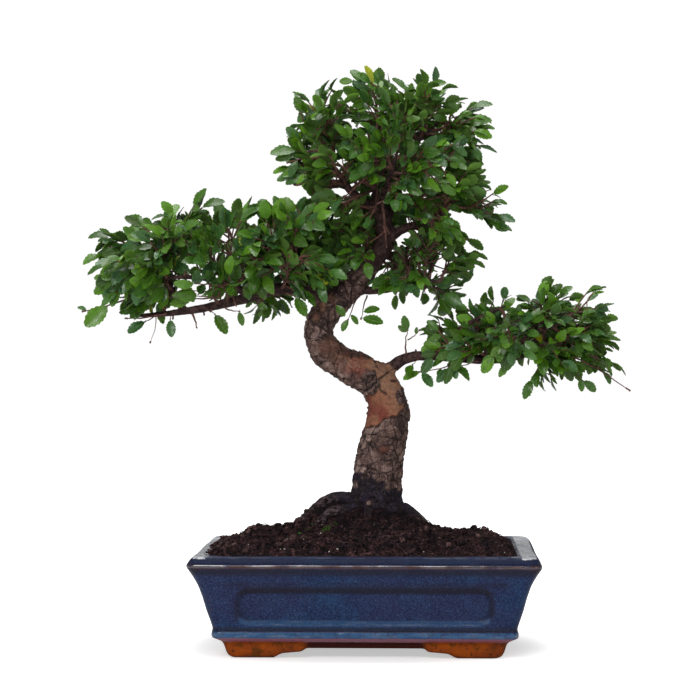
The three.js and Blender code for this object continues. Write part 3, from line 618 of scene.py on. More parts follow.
def glaze_material(looks):
    """Deep blue glaze: speckled, paler on the base bead, where that is partly a painted highlight, brown
    where it ran thin on the edges, and with painted light and shade on the edges of the sunk panels.
    """
    shader = Shader("deep_blue_glaze")
    speckle = shader.noise(0.85, detail=2, rough=0.7)
    mottle = shader.noise(1.5, detail=3, rough=0.75)
    cloud = shader.noise(14, detail=4, rough=0.6)
    drift = shader.noise(60, detail=2)
    deep = shader.layered(
        looks.glaze_deep,
        (cloud, (0.35, 0.65), looks.glaze_light),
        (drift, (0.4, 0.62, 0, 0.5), looks.glaze_purple),
    )
    freckled = shader.layered(
        deep,
        (speckle, (0.56, 0.7, 0, 0.6), looks.glaze_speckle),
        (speckle, (0.32, 0.46, 0.8, 0), looks.glaze_dark),
        (mottle, (0.34, 0.5, 0.65, 0), looks.glaze_dark),
        (mottle, (0.56, 0.68, 0, 0.4), looks.glaze_speckle),
    )
    slope = shader.value("slope")
    runs = shader.noise(2.6, detail=4, rough=0.7, place=shader.stretched((0.22, 0.22, 1)))
    streaks = shader.between(runs, 0.42, 0.62)
    # Painted highlight on each panel's lower edge, which faces up, and painted shade on its upper and side
    # edges
    freckled = shader.layered(
        freckled,
        (slope, (0.1, 0.8, 0, 0.4), looks.glaze_band),
        (slope, (-0.7, -0.1, 0.75, 0), looks.glaze_umber),
    )
    edge = shader.value("edge")
    ragged = shader.plus(edge, shader.times(shader.minus(cloud, 0.5), 1.1))
    thin = shader.mix(shader.between(ragged, 0.5, 0.75, 0, 0.5), freckled, looks.glaze_thin)
    hollow = shader.between(edge, -0.5, -0.1, 0.6, 0)
    pooled = shader.mix(hollow, thin, looks.glaze_dark)
    height = shader.plus(shader.height(), shader.times(cloud, 0.9 * MM))
    band = shader.band(height, BEAD_LEVELS)
    over_band = shader.band(height, OVER_BEAD_LEVELS)
    pooled = shader.mix(shader.times(over_band, 0.6), pooled, looks.glaze_umber)
    # The bead's paler blue is pooled glaze with a painted highlight on its top
    streak = shader.between(shader.noise(3.4, detail=3, rough=0.7), 0.3, 0.6, 0.45, 1)
    banded = shader.mix(shader.times(band, streak), pooled, looks.glaze_band)
    lip = shader.band(height, LIP_LEVELS)
    banded = shader.mix(shader.times(lip, 0.6), banded, looks.glaze_dark)
    under_lip = shader.band(height, UNDER_LIP_LEVELS)
    banded = shader.mix(shader.times(under_lip, 0.7), banded, looks.glaze_umber)
    ridge = shader.band(height, RIDGE_LEVELS)
    broken = shader.between(shader.noise(11, detail=4, rough=0.7), 0.4, 0.56)
    worn = shader.times(ridge, shader.times(broken, 0.7))
    banded = shader.mix(worn, banded, looks.glaze_thin)
    upper = shader.between(height, *(level * MM for level in UPPER_LEVELS))
    lit = shader.larger(shader.times(band, 0.8), shader.between(slope, 0.3, 0.9, 0, 0.7))
    crest = shader.times(ridge, shader.between(shader.noise(24, detail=3), 0.36, 0.6, 0.15, 1))
    brink = shader.between(height, *(level * MM for level in BRINK_LEVELS))
    brink = shader.times(brink, shader.between(runs, 0.4, 0.6, 0.2, 1))
    gloss = shader.larger(shader.larger(crest, brink), shader.times(lit, streaks))
    mauve = shader.between(height, *(level * MM for level in MAUVE_LEVELS))
    coloured = shader.mix(mauve, banded, looks.glaze_mauve)
    scale = shader.value("scale")
    crust = shader.between(shader.times(scale, shader.noise(3.4, detail=5, rough=0.75)), 0.4, 0.47)
    grainy = shader.between(speckle, 0.3, 0.7, 0.16, 0.3)
    swell = shader.bump(shader.noise(18, detail=2), 0.5, 0.35)
    shader.give(
        Base_Color=shader.mix(crust, coloured, looks.lime_scale),
        Roughness=shader.plus(grainy, shader.times(upper, 0.4)),
        Specular_IOR_Level=shader.between(gloss, 0, 1, 0.14, 0.6),
        Coat_Weight=shader.between(gloss, 0, 1, 0.02, 1),
        Coat_Roughness=0.12,
        Normal=shader.bump(shader.noise(3.2, detail=3), 0.12, 0.5, swell),
    )
    return shader.material


def clay_material(looks):
    """Bare orange-brown clay of the feet, pitted and stained, with painted shade on the skirt between the
    feet.
    """
    shader = Shader("bare_clay")
    cloud = shader.noise(16, detail=4, rough=0.6)
    grain = shader.noise(1.1, detail=3, rough=0.7)
    base = shader.mix(shader.between(cloud, 0.3, 0.7), looks.clay_dark, looks.clay_light)
    stains = shader.between(shader.noise(7, detail=5, rough=0.7), 0.5, 0.62, 0, 0.75)
    stained = shader.mix(stains, base, looks.clay_stain)
    pits = shader.between(shader.noise(3.2, detail=2, rough=0.6), 0.64, 0.68, 0, 0.9)
    sooty = shader.mix(shader.between(grain, 0.64, 0.72, 0, 0.85), stained, (0.012, 0.01, 0.01))
    sooty = shader.mix(pits, sooty, (0.012, 0.009, 0.008))
    low = shader.between(shader.height(), 1.6 * MM, 0.3 * MM, 0, 0.75)
    # Painted shade on the skirt between the feet, under the tray's overhang
    sheltered = shader.mix(shader.value("sheltered"), sooty, looks.clay_sheltered)
    shader.give(
        Base_Color=shader.mix(low, sheltered, (0.03, 0.015, 0.01)),
        Roughness=shader.between(cloud, 0.3, 0.7, 0.5, 0.75),
        Specular_IOR_Level=0.06,
        Normal=shader.bump(grain, 0.25, 0.5),
    )
    return shader.material


def mesh_material():
    """Black plastic of the drain screens, a little dusty."""
    shader = Shader("black_plastic_mesh")
    dust = shader.noise(3, detail=4)
    shader.give(
        Base_Color=shader.mix(shader.between(dust, 0.45, 0.7), (0.012, 0.013, 0.015), (0.06, 0.05, 0.042)),
        Roughness=shader.between(dust, 0.3, 0.7, 0.4, 0.7),
        Normal=shader.bump(shader.noise(0.7), 0.05, 0.4),
    )
    return shader.material


def soil_material(looks, name="peaty_soil"):
    """Dark crumbly compost with red-brown fibres showing in it; loose crumbs carry a tone of their own,
    while the bed's tone is painted light and shade from its relief, and the gaps between crumbs are painted
    shade.
    """
    shader = Shader(name)
    coarse = shader.noise(9, detail=4, rough=0.65)
    fine = shader.noise(1.3, detail=4, rough=0.75)
    base = shader.mix(shader.between(fine, 0.42, 0.62), looks.soil_dark, looks.soil_mid)
    # On the bed this tone is painted light and shade from its relief; on loose crumbs it is their own
    tone = shader.value("tone")
    reddish = shader.layered(
        base,
        (coarse, (0.42, 0.6, 0, 0.75), looks.soil_red),
        (tone, (0.6, 0.9), looks.soil_crumb),
        (tone, (0.0, 0.35, 0.6, 0), looks.soil_dark),
        (fine, (0.32, 0.48, 0.95, 0), looks.soil_dark),
    )
    # Crumbly lumps lighter and the gaps between them darker, the gaps as painted shade
    clumps = shader.between(shader.noise(2.6, detail=3, rough=0.7), 0.38, 0.64, 0.3, 1.8)
    lit_lumps_shaded_gaps = shader.tint(reddish, clumps)
    grains = shader.between(shader.noise(1.1, detail=2, rough=0.8), 0.66, 0.74, 0, 0.7)
    grit = shader.mix(grains, lit_lumps_shaded_gaps, looks.soil_grit)
    damp = shader.value("damp")
    wet = shader.mix(shader.times(damp, 0.87), grit, looks.soil_wet)
    shader.give(
        Base_Color=wet,
        Roughness=shader.between(damp, 0, 1, 0.92, 0.7),
        Specular_IOR_Level=0.1,
        Normal=shader.bump(fine, 0.7, 0.9),
    )
    return shader.material


def plain_material(name, dark, light, size, rough, bump=0.1):
    """Two tones of one colour in a noise, for small loose bits."""
    shader = Shader(name)
    cloud = shader.noise(size, detail=4, rough=0.65)
    shader.give(
        Base_Color=shader.mix(shader.between(cloud, 0.35, 0.65), dark, light),
        Roughness=rough,
        Specular_IOR_Level=0.15,
        Normal=shader.bump(shader.noise(size / 2), bump, 0.6),
    )
    return shader.material


def bark_material(looks):
    """Elm bark: grey-brown plates, orange and tan where they have flaked off, near black at the wet foot,
    and darkened as painted shade on the limbs and the upper trunk under the leaves.
    """
    shader = Shader("elm_bark")
    flaked = shader.value("flaked")
    damp = shader.value("damp")
    patchy = shader.noise(7, detail=5, rough=0.65)
    fine = shader.noise(1.1, detail=5, rough=0.75)
    lichen = shader.noise(3.2, detail=5, rough=0.7)
    tone = shader.plus(shader.value("plate"), shader.between(patchy, 0.3, 0.7, -0.25, 0.25))
    plate = shader.layered(
        looks.bark_dark,
        (tone, (0.0, 0.55), looks.bark_mid),
        (tone, (0.55, 1.15), looks.bark_grey),
        (lichen, (0.52, 0.66, 0, 0.6), looks.bark_grey),
    )
    wander = shader.add("ShaderNodeTexNoise", {"Vector": shader.place, "Scale": 1 / (8 * MM), "Detail": 4})
    bends = {0: wander.outputs["Color"], 1: [PLATE_WANDER * MM] * 3, 2: shader.place}
    bent = shader.add("ShaderNodeVectorMath", bends, operation="MULTIPLY_ADD").outputs["Vector"]
    seams = shader.cells(PLATE_SIZE, bent, feature="DISTANCE_TO_EDGE")
    own = shader.cells(PLATE_SIZE, bent, output="Color")
    plate = shader.tint(plate, shader.between(own, 0.2, 0.8, 0.82, 1.2))
    cracked = shader.between(seams, 0.012, 0.045, 0.95, 0)
    split_bark = shader.times(cracked, shader.between(lichen, 0.4, 0.52))
    plate = shader.mix(split_bark, plate, (0.012, 0.008, 0.008))
    grain = shader.noise(0.8, detail=3, rough=0.8)
    plate = shader.tint(plate, shader.between(grain, 0.34, 0.66, 0.5, 1.5))
    plate = shader.layered(
        plate,
        (fine, (0.36, 0.5, 0.75, 0), (0.02, 0.013, 0.011)),
        (fine, (0.6, 0.72, 0, 0.5), looks.bark_grey),
    )
    drift = shader.between(shader.noise(11, detail=3), 0.3, 0.7, -0.22, 0.22)
    drift = shader.plus(shader.value("warmth"), drift)
    bare = shader.layered(
        looks.bark_tan,
        (drift, (0.1, 0.5), looks.bark_orange),
        (drift, (0.62, 1.0), looks.bark_red),
    )
    bare = shader.tint(bare, shader.between(lichen, 0.32, 0.68, 0.74, 1.2))
    bare = shader.tint(bare, shader.between(grain, 0.36, 0.64, 0.9, 1.1))
    bare = shader.layered(
        bare,
        (fine, (0.36, 0.48, 0.25, 0), looks.bark_dark),
        (fine, (0.62, 0.7, 0, 0.2), looks.bark_grey),
    )
    skin = shader.mix(flaked, plate, bare)
    # Limbs, and the trunk above about 300 mm, take the limb bark, which is darkened as painted shade under
    # the leaves
    limb = shader.mix(shader.between(lichen, 0.4, 0.62), looks.twig_dark, looks.twig_light)
    skin = shader.mix(shader.value("young"), skin, limb)
    skin = shader.mix(shader.times(shader.value("crack"), 0.85), skin, (0.012, 0.008, 0.008))
    streaky = shader.noise(1.9, detail=5, rough=0.8, distortion=0.6)
    # The soaked foot, with a painted bluish sheen in patches
    soaked = shader.layered(
        looks.bark_wet,
        (patchy, (0.42, 0.6), looks.bark_wet_blue),
        (streaky, (0.5, 0.6, 0, 0.85), looks.bark_damp_edge),
        (fine, (0.34, 0.5, 0.9, 0), looks.bark_wet),
    )
    drawn_out = shader.stretched((0.3, 0.6, 0.8))
    grooves = shader.noise(1.5, detail=4, rough=0.75, place=drawn_out, distortion=0.4)
    strand = shader.layered(
        looks.bark_wet,
        (grooves, (0.42, 0.6), looks.bark_root),
        (streaky, (0.4, 0.52, 0.7, 0), looks.bark_wet),
    )
    soaked = shader.mix(shader.value("root"), soaked, strand)
    skin = shader.mix(damp, skin, soaked)
    relief = shader.times(shader.minus(1.0, shader.times(flaked, 0.75)), fine)
    relief = shader.minus(relief, shader.times(split_bark, 0.5))
    shader.give(
        Base_Color=skin,
        Roughness=shader.minus(shader.between(fine, 0.3, 0.7, 0.72, 0.9), shader.times(damp, 0.18)),
        Specular_IOR_Level=0.18,
        Normal=shader.bump(relief, 0.8, 0.85, shader.bump(patchy, 1.2, 0.4)),
    )
    return shader.material


def twig_material(looks):
    shader = Shader("young_twig_bark")
    fine = shader.noise(1.6, detail=4, rough=0.7)
    # Painted light: twigs further out from a pad's middle show more of the light bark, and those deep inside
    # stay dark as painted shade
    outer = shader.between(shader.value("tone"), 0.25, 0.9, 0.15, 1)
    lit_and_dry = shader.times(shader.between(fine, 0.36, 0.64), outer)
    shader.give(
        Base_Color=shader.mix(lit_and_dry, looks.twig_dark, looks.twig_light),
        Roughness=0.7,
        Specular_IOR_Level=0.2,
        Normal=shader.bump(fine, 0.2, 0.7),
    )
    return shader.material


def leaf_material(looks, underside=False):
    """A waxy leaf, darker or yellower by its own tone and paler along its midrib and side veins."""
    shader = Shader("leaf_underside" if underside else "leaf_top")
    tone = shader.value("tone")
    place = shader.add("ShaderNodeUVMap", uv_map="leaf").outputs["UV"]
    split = shader.add("ShaderNodeSeparateXYZ", {"Vector": place})
    out = shader.maths("ABSOLUTE", shader.minus(split.outputs["X"], 0.5))
    along = split.outputs["Y"]
    old_to_new = shader.mix(shader.between(tone, 0.0, 0.55), looks.leaf_dark, looks.leaf_mid)
    green = shader.mix(shader.between(tone, 0.55, 0.92), old_to_new, looks.leaf_fresh)
    own = shader.maths("FRACT", shader.times(tone, 37.0))
    green = shader.layered(
        green,
        (own, (0.5, 1.0, 0, 0.65), looks.leaf_cool),
        (own, (0.0, 0.22, 0.5, 0), looks.leaf_olive),
        (tone, (0.965, 0.975), looks.leaf_yellow),
    )
    mottle = shader.between(shader.noise(5, detail=3), 0.35, 0.7, 0, 0.35)
    mottled = shader.mix(mottle, green, looks.leaf_dark)
    slant = shader.minus(shader.times(along, 8.0), shader.times(out, 7.0))
    saw = shader.maths("ABSOLUTE", shader.minus(shader.maths("FRACT", slant), 0.5))
    side_vein = shader.between(saw, 0.38, 0.5)
    rib = shader.between(out, 0.045, 0.015)
    vein = shader.larger(rib, shader.times(side_vein, 0.45))
    veined = shader.mix(shader.times(vein, 0.5), mottled, looks.leaf_vein)
    if underside:
        veined = shader.mix(0.5, veined, looks.leaf_under)
    shader.give(
        Base_Color=veined,
        Roughness=0.5 if underside else shader.between(shader.noise(2.5), 0.3, 0.7, 0.2, 0.36),
        Specular_IOR_Level=0.2 if underside else 0.42,
        Subsurface_Weight=0.22,
        Subsurface_Radius=(0.5, 1.0, 0.1),
        Subsurface_Scale=0.5 * MM,
        Normal=shader.bump(shader.minus(1.0, vein), 0.25, 0.6),
    )
    return shader.material


# Tray


def panel_cutter(length, sides):
    """The block that sinks a panel into a wall; sides is the way to that wall from the tray's middle."""
    deselect_all()
    middle_height = (PANEL_LOW + PANEL_HIGH) / 2
    inset = WALL_LINE[1] - (middle_height - WALL_LINE[0]) * math.tan(WALL_LEAN)
    reach = (TRAY_LENGTH if sides[0] else TRAY_DEPTH) / 2 - inset
    thick = 2 * PANEL_SINK
    away = reach - PANEL_SINK / math.cos(WALL_LEAN) + thick / 2 * math.cos(WALL_LEAN)
    drop = thick / 2 * math.sin(WALL_LEAN)
    place = TRAY_MIDDLE + Vector((sides[0] * away, sides[1] * away, 0)) * MM
    place.z = (middle_height - drop) * MM
    bpy.ops.mesh.primitive_cube_add(size=MM, location=place)
    cutter = bpy.context.object
    height = (PANEL_HIGH - PANEL_LOW) / math.cos(WALL_LEAN)
    across = 0 if sides[0] else 1
    sizes = [length + 2 * PANEL_SLOPE, length + 2 * PANEL_SLOPE, height + 2 * PANEL_SLOPE]
    sizes[across] = thick
    cutter.scale = sizes
    choose(cutter)
    bpy.ops.object.transform_apply(location=False, rotation=False, scale=True)
    select_edges(cutter, lambda a, b: abs(a[across] - b[across]) > thick / 2 * MM)
    bpy.ops.mesh.bevel(offset=PANEL_CORNER * MM, segments=8, affect="EDGES")
    select_edges(cutter, lambda a, b: a[across] * sides[across] < 0 and b[across] * sides[across] < 0)
    shares = [1 - 4 * PANEL_SLOPE / size for size in sizes]
    shares[across] = 1
    bpy.ops.transform.resize(value=shares, center_override=cutter.location)
    bpy.ops.object.mode_set(mode="OBJECT")
    cutter.rotation_euler = (0, sides[0] * WALL_LEAN, 0) if sides[0] else (-sides[1] * WALL_LEAN, 0, 0)
    return settle(cutter)


def tray_feet():
    """Four corner feet, cut from a ring by the gaps between them."""
    ring = tray_block("feet", FOOT_PROFILE, 5)
    inner = FOOT_PROFILE[-1][1] + FOOT_THICK
    combine(ring, tray_block("inside", [(-2, inner), (16, inner)], 4), "DIFFERENCE")
    gap = [(z, half, TRAY_DEPTH / 2) for z, half in FOOT_GAP]
    side_gap = [(z, TRAY_LENGTH / 2, half) for z, half in SIDE_FOOT_GAP]
    combine(ring, stepped_block("gap", gap), "DIFFERENCE")
    combine(ring, stepped_block("side_gap", side_gap), "DIFFERENCE")
    inset = FOOT_PROFILE[-1][1] + SKIRT_INSET
    skirt = tray_block("skirt", [(SKIRT_UNDER, inset), (SKIRT_TOP + 0.6, inset)], 5)
    combine(skirt, tray_block("under", [(0, inner), (FLOOR_UNDER, inner)], 4), "DIFFERENCE")
    combine(ring, skirt, "UNION")
    return ring


def drain_cutter(side):
    deselect_all()
    place = TRAY_MIDDLE + Vector((side * DRAIN_AT * MM, 0, 0))
    place.z = 12 * MM
    radius = DRAIN_HOLE / 2 * MM
    bpy.ops.mesh.primitive_cylinder_add(vertices=32, radius=radius, depth=30 * MM, location=place)
    return settle(bpy.context.object)


def convexity(obj):
    """How far each point of a dense mesh stands out of its neighbours: -1 in a hollow, 1 on an edge."""
    points, mean = points_of(obj), neighbour_mean(obj)
    away = ((points - mean(points)) * normals_of(obj)).sum(1)
    for _ in range(3):
        away = (away + mean(away)) / 2
    return np.clip(away / 0.12, -1, 1)


def panel_painted_light(points, normals):
    """Where the edges of the sunk panels are sloped: 1 on the lower one, which faces up, and -1 on the
    others. The glaze paints a highlight on the lower edge and shade on the others.
    """
    heights = points[:, 2]
    over = smooth_step(heights, PANEL_LOW - 5, PANEL_LOW - 3)
    near = over * smooth_step(-heights, -PANEL_HIGH - 5, -PANEL_HIGH - 3)
    tilt = (normals[:, 2] + math.sin(WALL_LEAN)) / 0.34
    sideways = np.minimum(np.abs(normals[:, 0]), np.abs(normals[:, 1])) / 0.34
    corner = np.hypot(TRAY_LENGTH / 2 - 8 - np.abs(points[:, 0]), TRAY_DEPTH / 2 - 8 - np.abs(points[:, 1]))
    return np.clip(np.where(sideways > np.abs(tilt), -0.45 * sideways, tilt), -1, 1) * near * (corner > 17)


def make_tray(looks):
    body = tray_block("glazed_tray", WALL_PROFILE, TRAY_CORNER)
    for side in (-1, 1):
        combine(body, panel_cutter(PANEL_LENGTH, (0, side)), "DIFFERENCE")
        combine(body, panel_cutter(PANEL_SHORT_LENGTH, (side, 0)), "DIFFERENCE")
    combine(body, tray_block("cavity", CAVITY_PROFILE, 6), "DIFFERENCE")
    combine(body, tray_feet(), "UNION")
    for side in (-1, 1):
        combine(body, drain_cutter(side), "DIFFERENCE")
    modify(body, "REMESH", mode="VOXEL", voxel_size=TRAY_VOXEL * MM, use_smooth_shade=True)
    modify(body, "SMOOTH", factor=0.5, iterations=3)
    points = points_of(body)
    high = smooth_step(points[:, 2], 12, 40)
    wander = np.array([noise.noise_vector(Vector(p) / 55) for p in points])
    set_points(body, points + wander * (TRAY_WOBBLE * high)[:, None])
    points = points_of(body)
    give_values(body, "edge", convexity(body))
    # Where the glaze paints light and shade on the edges of the sunk panels
    give_values(body, "slope", panel_painted_light(points, normals_of(body)))
    side_mouth, back_mouth = TRAY_LENGTH / 2 - MOUTH_INSET, TRAY_DEPTH / 2 - MOUTH_INSET
    side_rim = smooth_step(np.abs(points[:, 0]), side_mouth - 1, side_mouth + 3)
    back_rim = 0.7 * smooth_step(points[:, 1], back_mouth - 1, back_mouth + 3)
    top = smooth_step(points[:, 2], RIM_TOP - 3.5, RIM_TOP - 0.5)
    give_values(body, "scale", np.maximum(side_rim, back_rim) * top)
    # Painted shade: the skirt between the feet, under the overhang of the tray, is marked for a darker clay
    in_front_gap = smooth_step(-np.abs(points[:, 0]), -FOOT_GAP[3][1] - 1, -FOOT_GAP[-1][1] + 2)
    in_side_gap = smooth_step(-np.abs(points[:, 1]), -SIDE_FOOT_GAP[3][1] - 1, -SIDE_FOOT_GAP[-1][1] + 2)
    in_front_gap *= np.abs(points[:, 1]) > 50
    give_values(body, "sheltered", np.maximum(in_front_gap, in_side_gap))
    finish_piece(body, [glaze_material(looks), clay_material(looks)], ["pot"])
    low = [polygon.center.z < (SKIRT_TOP + 0.4) * MM for polygon in body.data.polygons]
    body.data.polygons.foreach_set("material_index", np.array(low, np.int32))
    return body


# Soil


def soil_height(x, y):
    """Height of the bed at a place: level near the rim, mounded round the trunk's foot."""
    to_side = TRAY_LENGTH / 2 - MOUTH_INSET - np.abs(x)
    to_front = TRAY_DEPTH / 2 - MOUTH_INSET - np.abs(y)
    share = smooth_step(np.minimum(to_side, to_front), -2, SOIL_RISE_OVER)
    mounded = 0
    for at, height, spread in MOUNDS:
        mounded = mounded + height * np.exp(-((x - at[0]) ** 2 + (y - at[1]) ** 2) / spread**2)
    humps = 0.9 * np.sin(0.31 * x + 1.3) * np.sin(0.37 * y)
    return SOIL_EDGE + share * (SOIL_RISE + mounded + humps)


def soil_crumb(x, y):
    """Small relief of the bed: clods, crumbs and hollows."""
    clods = noise.noise(Vector((x, y, 3)) / 13) * 2.2
    crumbs = noise.noise(Vector((x, y, 9)) / 5) * 1.7
    grains = noise.noise(Vector((x, y, 20)) / 2.1) * 0.9
    return clods + crumbs + grains


def soil_damp(x, y):
    """Wet and dark near the trunk, drier and redder towards the rim."""
    away = np.hypot((x - 6) / 62, y / 52)
    return smooth_step(away, 1.15, 0.35)


def make_soil(looks):
    deselect_all()
    half_length = TRAY_LENGTH / 2 - MOUTH_INSET - 0.2
    half_depth = TRAY_DEPTH / 2 - MOUTH_INSET - 0.2
    middle = (TRAY_MIDDLE.x, TRAY_MIDDLE.y, SOIL_EDGE * MM)
    across = int(2 * half_length / SOIL_STEP)
    deep = int(2 * half_depth / SOIL_STEP)
    bpy.ops.mesh.primitive_grid_add(x_subdivisions=across, y_subdivisions=deep, size=2 * MM, location=middle)
    soil = bpy.context.object
    soil.name = "soil_bed"
    soil.scale = (half_length, half_depth, 1)
    settle(soil)
    bpy.ops.object.mode_set(mode="EDIT")
    bpy.ops.mesh.select_all(action="SELECT")
    bpy.ops.mesh.extrude_region_move(TRANSFORM_OT_translate={"value": (0, 0, (SOIL_FLOOR - SOIL_EDGE) * MM)})
    foot = TRAY_LENGTH / 2 - CAVITY_PROFILE[0][1] - 1
    foot_depth = TRAY_DEPTH / 2 - CAVITY_PROFILE[0][1] - 1
    bpy.ops.transform.resize(
        value=(foot / half_length, foot_depth / half_depth, 1),
        center_override=(TRAY_MIDDLE.x, TRAY_MIDDLE.y, SOIL_FLOOR * MM),
    )
    face_outward()
    points = points_of(soil)
    top = points[:, 2] > SOIL_EDGE - 1
    x, y = points[top, 0], points[top, 1]
    inside = smooth_step(np.minimum(half_length - np.abs(x), half_depth - np.abs(y)), 0, 5)
    relief = np.array([soil_crumb(a, b) for a, b in zip(x, y)])
    points[top, 2] = soil_height(x, y) + relief * inside
    set_points(soil, points)
    choose(soil)
    lower = [polygon.center.z < (SOIL_FLOOR + 1) * MM for polygon in soil.data.polygons]
    bpy.ops.object.mode_set(mode="EDIT")
    bpy.ops.mesh.select_mode(type="FACE")
    bpy.ops.mesh.select_all(action="DESELECT")
    bpy.ops.object.mode_set(mode="OBJECT")
    soil.data.polygons.foreach_set("select", lower)
    bpy.ops.object.mode_set(mode="EDIT")
    bpy.ops.mesh.dissolve_limited(angle_limit=math.radians(2))
    bpy.ops.object.mode_set(mode="OBJECT")
    points = points_of(soil)
    give_values(soil, "damp", soil_damp(points[:, 0], points[:, 1]))
    # Painted light and shade: the bed's tone follows its relief, lighter on ridges and darker in hollows
    ridges = np.array([soil_crumb(point[0], point[1]) for point in points])
    give_values(soil, "tone", np.clip(0.25 + 0.3 * ridges, 0, 1))
    bpy.ops.object.shade_smooth_by_angle(angle=math.radians(55))
    return finish_piece(soil, [soil_material(looks)], ["soil"])


def ball_shape(subdivisions):
    """Points and faces of a small ball, as the start of a crumb."""
    deselect_all()
    bpy.ops.mesh.primitive_ico_sphere_add(subdivisions=subdivisions, radius=1)
    ball = bpy.context.object
    points = np.array([vertex.co for vertex in ball.data.vertices])
    faces = np.array([polygon.vertices for polygon in ball.data.polygons])
    bpy.data.meshes.remove(ball.data)
    return points, faces


def turned(rng):
    """A random turn, as three rows."""
    a, b, c = rng.random(3)
    quaternion = np.array([
        math.sqrt(1 - a) * math.sin(2 * math.pi * b),
        math.sqrt(1 - a) * math.cos(2 * math.pi * b),
        math.sqrt(a) * math.sin(2 * math.pi * c),
        math.sqrt(a) * math.cos(2 * math.pi * c),
    ])
    x, y, z, w = quaternion
    return np.array([
        [1 - 2 * (y * y + z * z), 2 * (x * y - z * w), 2 * (x * z + y * w)],
        [2 * (x * y + z * w), 1 - 2 * (x * x + z * z), 2 * (y * z - x * w)],
        [2 * (x * z - y * w), 2 * (y * z + x * w), 1 - 2 * (x * x + y * y)],
    ])


def ground_below(solids, x, y):
    """Height of the bed, or of a root that lies on it, at a place; None inside the trunk."""
    if math.dist((x, y), TRUNK_FOOT) < TRUNK_FOOT_REACH:
        return None
    start = (Vector((x, y, GROUND_SEEN_FROM)) + Vector(CAD_SHIFT)) * MM
    bed, wood = [solid.ray_cast(start, Vector((0, 0, -1)))[0] for solid in solids]
    if not bed or (wood and wood.z - bed.z > ROOT_BARE_FROM * MM):
        return None
    return max(bed.z, wood.z if wood else bed.z) / MM


def bed_places(rng, solids, count, middle=None, spread=None):
    """Places on the bed: all over it, or gathered round a middle."""
    made = []
    half_length = TRAY_LENGTH / 2 - MOUTH_INSET - 3
    half_depth = TRAY_DEPTH / 2 - MOUTH_INSET - 3
    while len(made) < count:
        if middle:
            x, y = rng.normal(middle, spread)
        else:
            x, y = rng.uniform(-half_length, half_length), rng.uniform(-half_depth, half_depth)
        height = ground_below(solids, x, y)
        if abs(x) < half_length and abs(y) < half_depth and height:
            made.append((x, y, height))
    return np.array(made)


def scattered(name, rng, places, sizes, squash, lumpiness, subdivisions=1, sink=0.2):
    """One piece of many lumpy crumbs, each its own closed shape; squash is how flat each lies."""
    points, faces = ball_shape(subdivisions)
    all_points, all_faces = [], []
    for number, (place, size) in enumerate(zip(places, sizes)):
        lump = points * (1 + lumpiness * rng.uniform(-1, 1, (len(points), 1)))
        lump = (lump * [1, rng.uniform(0.6, 1), rng.uniform(*squash)]) @ turned(rng).T
        all_points.append(lump * size + place + [0, 0, size * (0.5 - sink)])
        all_faces.append(faces + number * len(points))
    piece = mesh_piece(name, np.concatenate(all_points), np.concatenate(all_faces).tolist())
    damp = soil_damp(np.repeat(places[:, 0], len(points)), np.repeat(places[:, 1], len(points)))
    give_values(piece, "damp", damp)
    give_values(piece, "tone", np.repeat(rng.random(len(places)), len(points)))
    return piece


def spilled_places(rng, count):
    """Places on the left end of the rim, where soil has spilled over the tray's mouth."""
    inner = TRAY_LENGTH / 2 - MOUTH_INSET
    x = -inner + 2.5 - 9 * rng.random(count) ** 1.7
    y = rng.uniform(-1, 1, count) * (TRAY_DEPTH / 2 - MOUTH_INSET)
    return np.column_stack([x, y, np.full(count, float(RIM_TOP)) + 0.4 * rng.random(count)])


def thin_fibre(line, radius):
    """A three-sided closed strand along a line."""
    rings = []
    for number, point in enumerate(line):
        way = line[min(number + 1, len(line) - 1)] - line[max(number - 1, 0)]
        way = way / np.linalg.norm(way)
        side = np.cross(way, [0, 0, 1.0])
        side = side / max(np.linalg.norm(side), 1e-6)
        other = np.cross(way, side)
        here = radius * (0.35 if number in (0, len(line) - 1) else 1)
        angles = [2 * math.pi * k / 3 for k in range(3)]
        rings.append([point + here * (side * math.cos(a) + other * math.sin(a)) for a in angles])
    faces = [(0, 2, 1), tuple(3 * (len(line) - 1) + k for k in range(3))]
    for number in range(len(line) - 1):
        for k in range(3):
            a, b = 3 * number + k, 3 * number + (k + 1) % 3
            faces.append((a, b, b + 3, a + 3))
    return np.concatenate(rings), faces


def make_fibres(looks, rng, solids):
    """Root hairs and straw that lie on the bed."""
    all_points, all_faces, count = [], [], 0
    limit_x, limit_y = TRAY_LENGTH / 2 - MOUTH_INSET - 2, TRAY_DEPTH / 2 - MOUTH_INSET - 2
    near_trunk = bed_places(rng, solids, looks.fibres // 2, (0, -12), (34, 26))
    at_left = bed_places(rng, solids, looks.fibres // 2, (-82, -25), (24, 26))
    for place in np.concatenate([bed_places(rng, solids, looks.fibres), near_trunk, at_left]):
        turn = rng.uniform(0, 2 * math.pi)
        length = rng.uniform(5, 17)
        line = []
        x, y = place[:2]
        height = place[2]
        for step in range(6):
            lift = 0.4 + 1.2 * math.sin(math.pi * step / 5) * rng.uniform(0.2, 1)
            height = ground_below(solids, x, y) or height
            line.append(np.array([x, y, height + lift]))
            x += math.cos(turn) * length / 5
            y += math.sin(turn) * length / 5
            turn += rng.uniform(-0.6, 0.6)
        points, faces = thin_fibre(line, rng.uniform(0.14, 0.34))
        if np.abs(points[:, 0]).max() > limit_x or np.abs(points[:, 1]).max() > limit_y:
            continue
        all_points.append(points)
        all_faces += [tuple(index + count for index in face) for face in faces]
        count += len(points)
    piece = mesh_piece("soil_fibres", np.concatenate(all_points), all_faces)
    straw = plain_material("dry_root_fibre", (0.008, 0.005, 0.006), (0.07, 0.034, 0.033), 9, 0.85)
    return finish_piece(piece, [straw])


